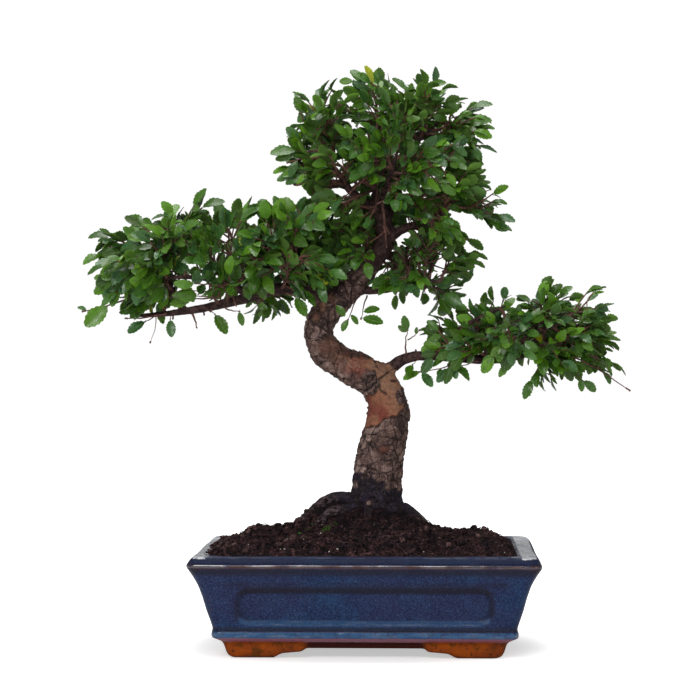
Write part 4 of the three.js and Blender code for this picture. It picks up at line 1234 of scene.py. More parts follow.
def make_litter(looks):
    """What lies loose on the bed: crumbs, clods, fibres, white grit and bits of moss."""
    rng = np.random.default_rng(LITTER_SEED)
    scene_parts = bpy.context.evaluated_depsgraph_get()
    solids = [BVHTree.FromObject(bpy.data.objects[name], scene_parts) for name in ("soil_bed", "bark")]
    crumb_places = np.concatenate([
        bed_places(rng, solids, looks.crumbs),
        bed_places(rng, solids, looks.crumbs // 14, (-36, -12), (15, 16)),
        bed_places(rng, solids, looks.crumbs // 8, (8, -26), (26, 9)),
    ])
    crumb_places = np.concatenate([crumb_places, spilled_places(rng, looks.spilled)])
    crumb_sizes = 0.5 + 1.5 * rng.random(len(crumb_places)) ** 2
    crumbs = scattered("soil_crumbs", rng, crumb_places, crumb_sizes, (0.5, 0.9), 0.25)
    finish_piece(crumbs, [soil_material(looks, "soil_crumb")])
    clod_places = np.concatenate([
        bed_places(rng, solids, 40),
        bed_places(rng, solids, 5, (-93, -22), (4, 8)),
        bed_places(rng, solids, 6, (-79, -8), (4, 8)),
        bed_places(rng, solids, 14, (-60, -30), (22, 18)),
    ])
    clod_sizes = rng.uniform(2, 4.2, len(clod_places))
    clods = scattered("soil_clods", rng, clod_places, clod_sizes, (0.5, 0.8), 0.22, 2)
    finish_piece(clods, [soil_material(looks, "soil_clod")])
    make_fibres(looks, rng, solids)
    grit_places = bed_places(rng, solids, WHITE_GRAINS)
    grit = scattered("white_grit", rng, grit_places, rng.uniform(0.35, 0.9, WHITE_GRAINS), (0.5, 0.9), 0.2)
    white = plain_material("white_grit", (0.35, 0.33, 0.29), (0.66, 0.64, 0.58), 1.2, 0.7)
    finish_piece(grit, [white])
    clumps = [bed_places(rng, solids, 18, clump, (2.1, 2.6)) for clump in MOSS_CLUMPS]
    moss_places = np.concatenate(clumps)
    moss = scattered("moss_bits", rng, moss_places, rng.uniform(0.4, 1.0, len(moss_places)), (0.3, 0.7), 0.4)
    green = plain_material("moss", (0.012, 0.04, 0.006), (0.06, 0.17, 0.012), 1.5, 0.8)
    finish_piece(moss, [green])


def make_screens(looks):
    """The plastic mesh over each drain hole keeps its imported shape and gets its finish."""
    plastic = mesh_material()
    for name in ("drain_screen_left", "drain_screen_right"):
        screen = frame["nodes"][name]
        screen.data.materials.clear()
        screen.data.materials.append(plastic)


# Trunk


def smooth_route(stations, step=1.2):
    """Stations of a route drawn closer together on a smooth curve through them."""
    rows = np.array(stations, float)
    ends = np.vstack([2 * rows[0] - rows[1], rows, 2 * rows[-1] - rows[-2]])
    made = []
    for i in range(len(rows) - 1):
        a, b, c, d = ends[i : i + 4]
        count = max(2, int(np.linalg.norm((c - b)[:3]) / step))
        for k in range(count):
            t = k / count
            bend = (2 * a - 5 * b + 4 * c - d) * t * t + (3 * b - a - 3 * c + d) * t**3
            made.append(0.5 * (2 * b + (c - a) * t + bend))
    made.append(rows[-1])
    return np.array(made)


def tube_rings(line, radii, sides, first_turn=0.0):
    """Rings of points along a line, each turned as little as possible from the last."""
    across = None
    rings = []
    for i, point in enumerate(line):
        along = line[min(i + 1, len(line) - 1)] - line[max(i - 1, 0)]
        along = along / np.linalg.norm(along)
        if across is None:
            across = np.array([0, 1.0, 0]) if abs(along[1]) < 0.9 else np.array([1.0, 0, 0])
        across = across - along * (across @ along)
        across = across / np.linalg.norm(across)
        other = np.cross(along, across)
        angles = first_turn + 2 * np.pi * np.arange(sides) / sides
        rings.append(point + radii[i] * (np.outer(np.cos(angles), across) + np.outer(np.sin(angles), other)))
    return np.array(rings)


def tube_faces(count, sides, start=0):
    """Faces of a closed tube of count rings, whose first point has the number start."""
    faces = []
    for i in range(count - 1):
        for k in range(sides):
            a = start + i * sides + k
            b = start + i * sides + (k + 1) % sides
            faces.append((a, b, b + sides, a + sides))
    last = start + (count - 1) * sides
    faces.append(tuple(start + k for k in reversed(range(sides))))
    faces.append(tuple(last + k for k in range(sides)))
    return faces


# Where bark has flaked off: middle and reach of each patch, how red it is, from tan at 0, and how bare
FLAKED_PATCHES = [
    ((11, -12, 184), (16, 20, 13), 0.95, 1),
    ((2, -12, 172), (11, 20, 10), 0.6, 1),
    ((22, -14, 186), (8, 16, 9), 0.3, 1),
    ((17, -12, 203), (12, 20, 12), 0.1, 1),
    ((21, -8, 211), (12, 18, 8), 0.05, 1),
    ((7, -10, 217), (12, 10, 6), 0.0, 0.9),
    ((-7, -14, 217), (15, 12, 13), 0.95, 0.7),
    ((-18, -12, 222), (13, 12, 12), 0.45, 0.55),
    ((-28, -11, 230), (12, 10, 10), 0.55, 0.5),
    ((-40, -8, 254), (4, 9, 6), 0.3, 0.6),
    ((-35, -9, 262), (4.5, 9, 6), 0.2, 0.7),
    ((-29, -10, 269), (5, 9, 5), 0.15, 0.6),
    ((13, -20, 152), (7.5, 8, 4), 0.95, 0.6),
    ((20, 15, 176), (13, 12, 14), 0.6, 0.55),
    ((0, 13, 208), (15, 10, 9), 0.4, 0.5),
    ((-40, 12, 242), (9, 9, 12), 0.4, 0.5),
    ((4, 20, 140), (8, 8, 9), 0.2, 0.4),
]

# Old dark bark that was left inside them: middle and reach
DARK_PATCHES = [
    ((2.6, -15, 203), (6.5, 12, 9)),
    ((26, -8, 192.5), (4.5, 10, 6)),
    ((-44, -4, 240), (9, 12, 10)),
]

# Plates that have dried to a pale pinkish grey: middle and reach
PALE_PLATES = [
    ((4, -16, 165.5), (8, 12, 3.6)),
    ((-3, -8, 157), (3, 14, 5)),
    ((0, -16, 146), (8.5, 12, 6.5)),
    ((17, -15, 136), (7, 12, 5)),
    ((-5, -14, 137), (4, 12, 3)),
    ((-27, -9, 217), (8, 10, 4)),
    ((-38, -9, 238), (5, 10, 5)),
    ((-9, -6, 124), (2.3, 12, 3.4)),
    ((1, -17, 112), (2.2, 8, 1.7)),
]

# Lower edge of the large fresh patch, where older bark still overlaps it, as places across and up
FLAKE_EDGE = [(-12, 166), (-1, 168.5), (8.4, 170.7), (11.9, 175.4), (22.6, 177.5), (28, 183), (36, 190)]
FLAKE_EDGE_FROM = 158  # height from which that edge counts


def patch_share(point, patch, ragged, blur=0.1):
    """How far inside a patch a point lies, from 0 outside it to 1 within."""
    middle, reach = patch[:2]
    away = math.sqrt(sum(((point[i] - middle[i]) / reach[i]) ** 2 for i in range(3)))
    return max(0.0, min(1.0, (1.05 - away - ragged) / blur))


# Dark folds and seams across the front of the bend, as places across and up
BARK_SEAMS = [
    ((23, 214), (18, 213), (12, 208), (6, 203), (1, 198), (-3, 196)),
    ((8, 204), (10, 198), (14, 195), (17, 192)),
    ((7, 211), (4, 206), (-1, 203)),
    ((-12, 231), (-11, 226), (-12, 222)),
    ((3, 228), (5, 223), (8, 218), (10, 213)),
    ((-21, 229), (-23, 222), (-25, 218)),
    ((12, 205), (17, 206), (22, 205)),
    ((9, 147.5), (12, 144), (17, 143.5), (21, 144.5), (24, 140)),
    ((8, 143), (3, 140.5), (-6, 139)),
    ((20, 151), (21.5, 148), (21, 144.5)),
    ((-3, 161.5), (-5, 156), (-7, 153)),
    ((-2, 162), (5, 163.5), (10, 166)),
    ((6, 138), (9, 134), (13, 131)),
]


def seam_share(point, wander):
    """How dark a seam is at a point, from the nearest seam's distance across and up."""
    away = 9.0
    for seam in (*BARK_SEAMS, FLAKE_EDGE[1:-1]):
        for start, end in zip(seam, seam[1:]):
            run = end[0] - start[0], end[1] - start[1]
            off = point[0] - start[0] + 2.4 * wander, point[2] - start[1] + 2.4 * wander
            share = (off[0] * run[0] + off[1] * run[1]) / (run[0] ** 2 + run[1] ** 2)
            share = max(0.0, min(1.0, share))
            away = min(away, math.hypot(off[0] - share * run[0], off[1] - share * run[1]))
    reach = 0.85 + 1.6 * noise.noise(Vector(point) / 4.5)
    return max(0.0, min(1.0, (reach - away) / 0.6))


def bark_at(point, radius):
    """The bark at a point: its relief in millimetres and the shares that its material reads."""
    place = Vector(point)
    ragged = 0.3 * noise.noise(place / 7) + 0.16 * noise.noise(place / 2.6)
    flaked, total, warmth = 0.0, 1e-6, 0.0
    for patch in FLAKED_PATCHES:
        blur = 0.1 if patch[3] > 0.8 else 0.55
        flaked = max(flaked, patch_share(point, patch, ragged, blur) * patch[3])
        near = math.exp(-1.6 * sum(((point[i] - patch[0][i]) / patch[1][i]) ** 2 for i in range(3)))
        total += near
        warmth += near * patch[2]
    warmth /= total
    dark = max(patch_share(point, patch, ragged) for patch in DARK_PATCHES)
    flaked *= 1 - dark
    if point[1] < 6 and point[2] > FLAKE_EDGE_FROM:
        edge = np.interp(point[0] + 2.2 * ragged, *zip(*FLAKE_EDGE)) + 2.2 * ragged
        flaked *= max(0.0, min(1.0, (point[2] - edge) / 0.8 + 0.5))
    # Thick old bark below about 300 mm; above that the trunk counts as young so that it takes the darker
    # limb bark, as painted shade under the crown
    old = max(0.0, min(1.0, (radius - 5) / 5)) * max(0.0, min(1.0, (300 - point[2]) / 16))
    bent = place + 3.4 * noise.noise_vector(place / 9)
    distances, seeds = noise.voronoi(bent / 12.5)[:2]
    gap = distances[1] - distances[0]
    cell = noise.noise(seeds[0] * 3.1)
    open_share = max(0.0, min(1.0, 0.75 + 1.6 * noise.noise(place / 16)))
    crack = max(0.0, 1 - gap / 0.1) * open_share
    small_gap = noise.voronoi(bent / 4.4)[0]
    scale_crack = max(0.0, 1 - (small_gap[1] - small_gap[0]) / 0.12) * (1 - open_share)
    pale = max(patch_share(point, patch, 1.6 * ragged, 0.4) for patch in PALE_PLATES) * (1 - flaked)
    rim = max(0.0, 1 - abs(gap - 0.19) / 0.13) * max(0.0, 2.2 * noise.noise(place / 6 + seeds[0]))
    plate = 0.45 + 0.75 * cell + 0.5 * noise.noise(place / 4.5) + 0.45 * rim + 0.55 * pale - 0.3 * dark
    flake_rim = 1.0 if 0.08 < flaked < 0.6 else 0.0
    rough = 1 - 0.85 * flaked
    relief = old * rough * (1.2 * cell - 1.5 * crack - 0.5 * scale_crack + 0.5 * rim)
    relief += old * (1.1 * noise.noise(place / 3.0) * rough + 1.7 * noise.noise(place / 14))
    relief -= 0.85 * flaked * old
    relief += (1 - old) * 0.35 * noise.noise(place / 3.5)
    limit = 137 - 0.38 * (point[0] + 12) + 13 * ragged + 7 * noise.noise(place / 4)
    damp = max(0.0, min(1.0, (limit - point[2]) / 3))
    seam = seam_share(point, 0.9 * ragged) if point[1] < 4 else 0.0
    relief -= 0.7 * seam
    cracked = max(crack * rough, 0.6 * scale_crack * rough, 0.5 * flake_rim, seam) * old
    return relief, flaked * old, warmth, cracked, damp * (1 - 0.9 * max(flaked, pale)), 1 - old, plate


def root_strands(line):
    """Three strands that wind round each other in place of one smooth root."""
    across = np.array([[0, 1.0, 0], [0, 0, 1.0]])
    strands = []
    for strand in range(3):
        turns = 2 * math.pi * strand / 3 + np.linspace(0, 2.2, len(line))
        away = line[:, 3:] * 0.42 * (np.cos(turns)[:, None] * across[0] + np.sin(turns)[:, None] * across[1])
        thick = line[:, 3] * (0.66 + 0.1 * np.sin(3 * turns + strand))
        strands.append(np.column_stack([line[:, :3] + away, thick]))
    return strands


def middles_tree(rings):
    """A search tree over the middles of rings, given as rows of place and radius."""
    tree = KDTree(len(rings))
    for number, ring in enumerate(rings):
        tree.insert(Vector(ring[:3]), number)
    tree.balance()
    return tree


def make_trunk(looks):
    lines = [smooth_route(route) for route in (TRUNK, *LIMBS.values())]
    lines += [strand for route in ROOTS.values() for strand in root_strands(smooth_route(route))]
    tubes, samples = [], []
    for number, line in enumerate(lines):
        sides = 30 if number == 0 else LIMB_SIDES
        rings = tube_rings(line[:, :3], line[:, 3], sides)
        tubes.append(mesh_piece("tube", rings.reshape(-1, 3), tube_faces(len(line), sides)))
        samples.append(line)
    trunk = join("bark", tubes)
    modify(trunk, "REMESH", mode="VOXEL", voxel_size=BARK_VOXEL * MM, use_smooth_shade=True)
    samples = np.concatenate(samples)
    tree, stem_tree = middles_tree(samples), middles_tree(lines[0])
    points = points_of(trunk)
    radii = np.array([samples[tree.find(Vector(point))[1], 3] for point in points])
    for number, point in enumerate(points):
        nearest, away = stem_tree.find(Vector(point))[1:]
        stem = lines[0][nearest, 3]
        if away < stem + 2.5:
            radii[number] = max(radii[number], stem)
    smoothed = soften(trunk, points, smooth_step(radii, 1.5, 7), 6)
    waist = np.exp(-(((smoothed[:, 2] - WAIST_AT) / WAIST_REACH) ** 2))
    smoothed[:, 0] -= waist * (1.2 + 0.06 * (smoothed[:, 0] - 14))
    set_points(trunk, smoothed)
    normals = normals_of(trunk)
    made = np.array([bark_at(point, radius) for point, radius in zip(smoothed, radii)])
    set_points(trunk, smoothed + normals * made[:, :1])
    for column, name in enumerate(("flaked", "warmth", "crack", "damp", "young", "plate"), 1):
        give_values(trunk, name, made[:, column])
    away = np.hypot(*(smoothed[:, :2] - TRUNK_FOOT).T)
    give_values(trunk, "root", smooth_step(away, *ROOT_BARK_FROM) * (smoothed[:, 2] < ROOTS_UNDER))
    return finish_piece(trunk, [bark_material(looks)], ["trunk"])


def soften(obj, points, share, rounds):
    """Points drawn towards their neighbours, by a share of their own each."""
    mean = neighbour_mean(obj)
    for _ in range(rounds):
        points = points + (mean(points) - points) * (0.6 * share[:, None])
    return points


# Sprays: their main and side twigs are planned as in the part's source


def unit(vector):
    return vector / math.sqrt(vector[0] ** 2 + vector[1] ** 2 + vector[2] ** 2)


def dot(a, b):
    return a[..., 0] * b[..., 0] + a[..., 1] * b[..., 1] + a[..., 2] * b[..., 2]


def cross(a, b):
    return np.array([a[1] * b[2] - a[2] * b[1], a[2] * b[0] - a[0] * b[2], a[0] * b[1] - a[1] * b[0]])


class Wood:
    """Straight stretches of wood with their thickness, for keeping twigs apart."""

    def __init__(self):
        self.starts, self.ends, self.radii = [], [], []

    def add(self, points, radii):
        for i in range(len(points) - 1):
            self.starts.append(points[i])
            self.ends.append(points[i + 1])
            self.radii.append(max(radii[i], radii[i + 1]))

    def without(self, other):
        """The wood less the stretches that start where another's do."""
        starts = {tuple(start) for start in other.starts}
        kept = Wood()
        for start, end, radius in zip(self.starts, self.ends, self.radii):
            if tuple(start) not in starts:
                kept.starts.append(start)
                kept.ends.append(end)
                kept.radii.append(radius)
        return kept

    def clear_of(self, start, end, radius):
        """Whether a stretch keeps its clearance from all of this wood."""
        from_points, to_points = np.array(self.starts), np.array(self.ends)
        u = end - start
        v = to_points - from_points
        w = start - from_points
        uu, uv, vv = dot(u, u), dot(u, v), dot(v, v)
        uw, vw = dot(u, w), dot(v, w)
        spread = uu * vv - uv * uv
        safe = np.where(spread > 1e-9, spread, 1.0)
        s = np.where(spread > 1e-9, np.clip((uv * vw - vv * uw) / safe, 0, 1), 0.0)
        t = np.clip((vw + s * uv) / vv, 0, 1)
        s = np.clip((t * uv - uw) / uu, 0, 1)
        gap = w + u * s[:, None] - v * t[:, None]
        return bool(np.all(np.sqrt(dot(gap, gap)) >= radius + np.array(self.radii) + TWIG_CLEARANCE))


def runs_clear(points, radii, wood, start, start_length):
    """Whether a line of wood stays clear past the length where it grows out of its limb."""
    for i in range(len(points) - 1):
        radius = max(radii[i], radii[i + 1])
        away = math.dist(points[i], start)
        length = math.dist(points[i + 1], points[i])
        if away + length <= start_length:
            continue
        cut = max(0.0, min(0.9, (start_length - away) / length))
        if not wood.clear_of(points[i] + (points[i + 1] - points[i]) * cut, points[i + 1], radius):
            return False
    return True


def bowed_line(start, end, bow, stretches=TWIG_STRETCHES):
    control = start + (end - start) * 0.5 + bow
    shares = [i / stretches for i in range(stretches + 1)]
    return [start * (1 - t) ** 2 + control * (2 * (1 - t) * t) + end * t**2 for t in shares]


def growing_places():
    """Places on the limbs where a spray may grow, with the limb's radius there."""
    places = []
    for route in [TRUNK[TRUNK_START:], *LIMBS.values()]:
        rows = np.array(route, float)
        for i in range(len(rows) - 1):
            for k in range(STATIONS_PER_SPAN):
                share = (k + 1) / STATIONS_PER_SPAN
                point = rows[i, :3] + (rows[i + 1, :3] - rows[i, :3]) * share
                radius = rows[i, 3] * (1 - share) + rows[i + 1, 3] * share
                places.append({"point": point, "radius": radius, "taken": False})
    return places


def pad_tips(middle, reach, lowest, sprays, turn):
    """Where a pad's sprays end, spread evenly over it, and the way out of the pad there."""
    for i in range(sprays):
        rise = 1 - ((i + 0.5) / sprays) * (1 - lowest)
        ring = math.sqrt(1 - rise * rise)
        angle = turn + i * GOLDEN_TURN
        share = np.array([ring * math.cos(angle), ring * math.sin(angle), rise])
        yield share * reach + middle, unit(share / reach)


def twig_radii(ends, stretches=TWIG_STRETCHES):
    return [ends[0] + (ends[1] - ends[0]) * i / stretches for i in range(stretches + 1)]


def main_twig(tip, outward, places, wood, draw):
    """A spray's main twig, from the best free place on the limbs and bowed so that it runs clear."""
    turn = 2 * math.pi * draw()
    radii = twig_radii(MAIN_TWIG)
    ranked = []
    for place in places:
        way = tip - place["point"]
        length = math.sqrt(dot(way, way))
        if place["taken"] or length <= TWIG_SHORTEST:
            continue
        cost = abs(length - TWIG_WANTED) + OUTWARD_WORTH * (1 - dot(way, outward) / length)
        ranked.append((cost, place, length, way / length))
    ranked.sort(key=lambda entry: entry[0])
    up = np.array([0.0, 0.0, 1.0])
    for _, place, length, way in ranked[:PLACES_TRIED]:
        rise = unit(up - way * way[2])
        side = cross(way, rise)
        for i in range(BOWS_TRIED):
            angle = 0 if i == 0 else turn + 2 * math.pi * i / BOWS_TRIED
            bow = (rise * math.cos(angle) + side * math.sin(angle)) * (TWIG_BOW * length)
            points = bowed_line(place["point"], tip, bow)
            if runs_clear(points, radii, wood, place["point"], place["radius"] + 5):
                return {"points": points, "radii": radii, "place": place, "bow": bow}
    return None


def facing(way, outward, draw):
    """The way that a spray's leaves face: out of the pad and up."""
    normal = outward + np.array([0, 0, 0.7])
    normal = normal + np.array([draw() - 0.5, draw() - 0.5, draw() - 0.5]) * 0.6
    return unit(normal - way * dot(normal, way))


def sideways(way, normal, hand, spread, lift):
    """A direction turned from a twig's own to its left or right in the spray's flat, then raised."""
    side = cross(normal, way) * hand
    return unit(way * math.cos(spread) + side * math.sin(spread) + normal * math.sin(lift))


def place_on_line(points, share):
    at = min(share * (len(points) - 1), len(points) - 1.001)
    i = int(at)
    way = unit(points[i + 1] - points[i])
    return points[i] + (points[i + 1] - points[i]) * (at - i), way


def side_twigs(main, normal, wood, draw):
    made = []
    for i, share in enumerate(SIDE_TWIGS):
        point, way = place_on_line(main["points"], share)
        length = SIDE_TWIG_LENGTH * (1.1 - 0.35 * share) * (0.85 + 0.3 * draw())
        spread = 0.75 + 0.3 * draw()
        lift = 0.5 * (draw() - 0.5)
        hand = -1 if i % 2 else 1
        others = Wood()
        for source in (wood, *made):
            others.starts += source.starts
            others.ends += source.ends
            others.radii += source.radii
        for raised in (lift, lift + 0.45, lift - 0.45):
            end = point + sideways(way, normal, hand, spread, raised) * length
            if runs_clear([point, end], SIDE_TWIG, others, point, 3):
                twig = Wood()
                twig.add([point, end], SIDE_TWIG)
                made.append(twig)
                break
    return made


def limb_wood():
    wood = Wood()
    for route in [TRUNK, *LIMBS.values(), *ROOTS.values()]:
        rows = np.array(route, float)
        wood.add(list(rows[:, :3]), list(rows[:, 3]))
    return wood


def plan_pads(pads, places, wood, spacing, number=0):
    """Main and side twigs of the sprays of some pads, each with its own draws."""
    sprays = []
    for name, middle, reach, lowest, count, first_turn in pads:
        tips = pad_tips(np.array(middle, float), np.array(reach, float), lowest, count, first_turn)
        for i, (tip, outward) in enumerate(tips):
            draw = seeded_draw(7919 * (number + len(sprays) + 1) + 101 * i + 13)
            main = main_twig(tip, outward, places, wood, draw)
            if not main:
                continue
            for place in places:
                if math.dist(place["point"], main["place"]["point"]) < spacing:
                    place["taken"] = True
            way = unit(main["points"][-1] - main["points"][-2])
            own = Wood()
            own.add(main["points"], main["radii"])
            wood.add(main["points"], main["radii"])
            normal = facing(way, outward, draw)
            spray = {"name": f"{name}_{i + 1}", "pad": name, "main": main}
            sprays.append({**spray, "own": own, "normal": normal, "draw": draw})
    for spray in sprays:
        others = wood.without(spray["own"])
        spray["sides"] = side_twigs(spray["main"], spray["normal"], others, spray["draw"])
        for twig in spray["sides"]:
            wood.add([twig.starts[0], twig.ends[0]], SIDE_TWIG)
    return sprays


def leaf_outline(width):
    """Half of a leaf's edge: shares of its length, and how far out from the rib the edge lies there."""
    edge = []
    for tooth in range(LEAF_TEETH):
        for step, out in ((0.1, -0.4), (0.72, 1.0)):
            along = (tooth + step) / (LEAF_TEETH + 0.1)
            half = 0.5 * width * math.sin(math.pi * along**1.06) ** 0.62
            edge.append((0.06 + 0.94 * along, half + out * LEAF_TOOTH * width))
    return edge


RIB_SHARES = (0.12, 0.34, 0.62, 0.86)


def in_opening(point):
    for (across, up), (reach, reach_up), back in OPENINGS:
        if point[1] < back and math.hypot((point[0] - across) / reach, (point[2] - up) / reach_up) < 1:
            return True
    return False


def ladder(first, second):
    """Triangles between two rows of (share, number) that share their first and last points."""
    faces = []
    i = k = 0
    while i < len(first) - 1 or k < len(second) - 1:
        step_first = k == len(second) - 1 or (i < len(first) - 1 and first[i + 1][0] <= second[k + 1][0])
        if step_first:
            faces.append((first[i][1], second[k][1], first[i + 1][1]))
            i += 1
        else:
            faces.append((first[i][1], second[k][1], second[k + 1][1]))
            k += 1
    return [face for face in faces if len(set(face)) == 3]


def leaf_shape(fold, droop, twist, width):
    """Points (out, along, up) of a leaf one unit long, its faces, 1 for each below, and its UV places."""
    edge = leaf_outline(width)
    thick = LEAF_THICK / 20
    points = [(0, 0, 0), (0, 1, 0)]
    rows = {}
    for key, up in (("above", thick / 2), ("below", -thick / 2)):
        rows[key] = [(share, len(points) + k) for k, share in enumerate(RIB_SHARES)]
        points += [(0, share, up) for share in RIB_SHARES]
    for key, hand in (("right", 1), ("left", -1)):
        rows[key] = [(along, len(points) + k) for k, (along, _) in enumerate(edge)]
        points += [(hand * out, along, 0) for along, out in edge]
    faces, under = [], []
    ends = (0, 0), (1, 1)
    for surface, flip in (("above", False), ("below", True)):
        rib = [ends[0], *rows[surface], ends[1]]
        for side, turned_over in (("right", flip), ("left", not flip)):
            made = ladder(rib, [ends[0], *rows[side], ends[1]])
            faces += [face[::-1] if turned_over else face for face in made]
            under += [int(flip)] * len(made)
    flat = np.array(points)
    places = np.column_stack([0.5 + 0.9 * flat[:, 0] / width, flat[:, 1]])
    out, along, up = flat.T
    rise = fold * np.abs(out) + droop * along**2 + 0.03 * np.sin(14 * along) * np.abs(out) / width
    turn = twist * along * 3
    shaped = np.column_stack([
        out * np.cos(turn) - rise * np.sin(turn) * 0.3,
        along - 0.25 * np.abs(droop) * along**2,
        up + rise + out * np.sin(turn),
    ])
    return shaped, np.array(faces), np.array(under), places


class Foliage:
    """The wood and leaves of one piece, gathered as points and faces."""

    def __init__(self, seed, leaf_length, middle):
        self.rng = np.random.default_rng(seed)
        self.leaf_length = leaf_length
        self.middle = np.array(middle, float)
        self.points, self.faces, self.kinds, self.tones, self.places = [], [], [], [], []
        self.count = 0

    def add(self, points, faces, kinds, tone, places):
        self.points.append(points)
        self.faces += [tuple(int(index) + self.count for index in face) for face in faces]
        self.kinds += list(kinds)
        self.tones += list(np.broadcast_to(tone, len(points)))
        self.places.append(places)
        self.count += len(points)

    def twig(self, line, radii, sides=5):
        rings = tube_rings(line, radii, sides)
        faces = tube_faces(len(line), sides)
        points = rings.reshape(-1, 3)
        # Tone grows with the distance from the pad's middle; the twig material paints twigs further out
        # lighter, as painted light
        tone = np.linalg.norm(points - self.middle, axis=1) / 60
        self.add(points, faces, [0] * len(faces), tone, np.zeros((len(points), 2)))

    def leaf(self, shapes, base, way, normal, share, tone):
        """A leaf from its base along a way, as a share of the piece's leaf length."""
        shaped, faces, under, places = shapes[self.rng.integers(len(shapes))]
        way = unit(way)
        flat = unit(normal - way * dot(normal, way))
        across = cross(way, flat)
        size = shaped * (share * self.leaf_length)
        points = base + np.outer(size[:, 0], across) + np.outer(size[:, 1], way) + np.outer(size[:, 2], flat)
        self.add(points, faces, 1 + under, tone, places)

    def piece(self, name, materials, slot="leaf", nodes=()):
        obj = mesh_piece(name, np.concatenate(self.points), self.faces)
        places = np.concatenate(self.places)
        corners = np.empty(len(obj.data.loops), np.int32)
        obj.data.loops.foreach_get("vertex_index", corners)
        layer = obj.data.uv_layers.new(name="leaf")
        layer.data.foreach_set("uv", places[corners].astype(np.float32).ravel())
        give_values(obj, "tone", self.tones)
        obj.data.polygons.foreach_set("use_smooth", np.ones(len(self.faces), bool))
        obj.data.set_sharp_from_angle(angle=math.radians(50))
        finish_piece(obj, materials, nodes)
        obj.data.polygons.foreach_set("material_index", np.array(self.kinds, np.int32))
        obj.data.update()
        return obj


def twig_leaves(foliage, shapes, line, normal, looks, first=0.2, freshness=0.0):
    """Leaves along a twig, left and right in turn, and one at its end."""
    rng = foliage.rng
    length = sum(math.dist(line[i], line[i + 1]) for i in range(len(line) - 1))
    count = max(1, int(length * (1 - first) / looks.leaf_spacing))
    hand = 1 if rng.random() < 0.5 else -1
    for i in range(count):
        share = first + (1 - first) * (i + 0.5 * rng.random()) / count
        point, way = place_on_line(line, share)
        spread = rng.uniform(0.75, 1.15)
        turned_way = sideways(way, normal, hand, spread, rng.uniform(-0.2, 0.35))
        turned_way = turned_way + fanned(point, foliage.middle)
        tilt = normal + outward_lean(point) + rng.uniform(-0.85, 0.85, 3)
        size, tone = rng.uniform(0.55, 1.12), tone_of(rng, freshness)
        if not in_opening(point + turned_way * (0.5 * size * foliage.leaf_length)):
            foliage.leaf(shapes, point, turned_way, tilt, size, tone)
        hand = -hand
    point, way = place_on_line(line, 1)
    tip_way = way + 0.5 * fanned(point, foliage.middle) + rng.uniform(-0.25, 0.25, 3)
    size, tone = rng.uniform(0.75, 1.1), tone_of(rng, freshness + 0.12)
    if not in_opening(point + way * (0.5 * size * foliage.leaf_length)):
        tilt = normal + outward_lean(point) + rng.uniform(-0.5, 0.5, 3)
        foliage.leaf(shapes, point - way, tip_way, tilt, size, tone)


def fanned(point, middle):
    """The way that leaves hang on a pad: out from its middle and a little down."""
    away = unit(point - middle) * [0.8, 0.4, 0.2]
    return away - [0, 0, 0.3]


def outward_lean(point):
    """Leaves turn their face to the light at the pad's own side, front or back."""
    return np.array([0, 0.4 * max(-1.0, min(1.0, (point[1] - 6) / 12)), 0])


def tone_of(rng, freshness):
    """A leaf's own tone: most are dark, a few fresh, and one in a hundred yellow."""
    if rng.random() < 0.008:
        return 1.0
    return float(np.clip(rng.beta(1.1, 1.5) + freshness, 0, 0.95))


def crooked(line, rng, amount):
    """A line whose inner points wander a little, as elm twigs do."""
    rows = np.array(line)
    rows[1:-1] += rng.uniform(-amount, amount, rows[1:-1].shape)
    return rows


def grow_spray(foliage, spray, shapes, looks):
    """A spray's twigs and leaves, added to a piece's foliage."""
    rng = foliage.rng
    main, normal = spray["main"], spray["normal"]
    start, end = main["points"][0], main["points"][-1]
    line = crooked(bowed_line(start, end, main["bow"], 7), rng, 0.7)
    foliage.twig(line, twig_radii((MAIN_TWIG[0], 0.55), 7))
    twig_leaves(foliage, shapes, line, normal, looks, 0.35)
    for twig in spray["sides"]:
        fine = crooked(bowed_line(twig.starts[0], twig.ends[0], rng.uniform(-1.6, 1.6, 3), 4), rng, 0.4)
        foliage.twig(fine, twig_radii((SIDE_TWIG[0], 0.4), 4), 4)
        twig_leaves(foliage, shapes, fine, normal, looks)
    hand = 1
    for share in np.linspace(0.24, 0.93, looks.twigs_per_spray):
        at = float(share + rng.uniform(-0.04, 0.04))
        point, way = place_on_line(line, at)
        length = rng.uniform(11, 21) * (1.15 - 0.45 * share)
        tip = point + sideways(way, normal, hand, rng.uniform(0.6, 1.05), rng.uniform(-0.45, 0.55)) * length
        hand = -hand
        if in_opening(tip):
            continue
        fine = crooked(bowed_line(point, tip, rng.uniform(-1.4, 1.4, 3), 3), rng, 0.35)
        foliage.twig(fine, twig_radii((0.62, 0.35), 3), 4)
        twig_leaves(foliage, shapes, fine, normal + rng.uniform(-0.25, 0.25, 3), looks)
    for share in rng.uniform(0.15, 0.98, 6):
        point, way = place_on_line(line, float(share))
        stub_way = unit(rng.normal(size=3) + 0.8 * way + 0.7 * normal)
        if not in_opening(point + 4 * stub_way):
            add_stub(foliage, point, stub_way, rng.uniform(3, 9))
    for share in rng.uniform(0.3, 0.8, 2):
        point, way = place_on_line(line, float(share))
        out = unit(way + 0.9 * normal + outward_lean(point) + rng.uniform(-0.5, 0.5, 3))
        tip = point + out * rng.uniform(14, 24)
        if in_opening(tip):
            continue
        fine = crooked(bowed_line(point, tip, rng.uniform(-2.5, 2.5, 3), 4), rng, 0.5)
        foliage.twig(fine, twig_radii((0.75, 0.45), 4), 4)
        twig_leaves(foliage, shapes, fine, normal, looks, 0.8, 0.15)


def add_stub(foliage, point, way, length):
    """A bare bit of twig that ends in a bud."""
    line = [point, point + way * length * 0.6, point + way * length * 0.85, point + way * length]
    foliage.twig(crooked(line, foliage.rng, 0.3), [0.75, 0.6, 0.9, 0.35], 4)


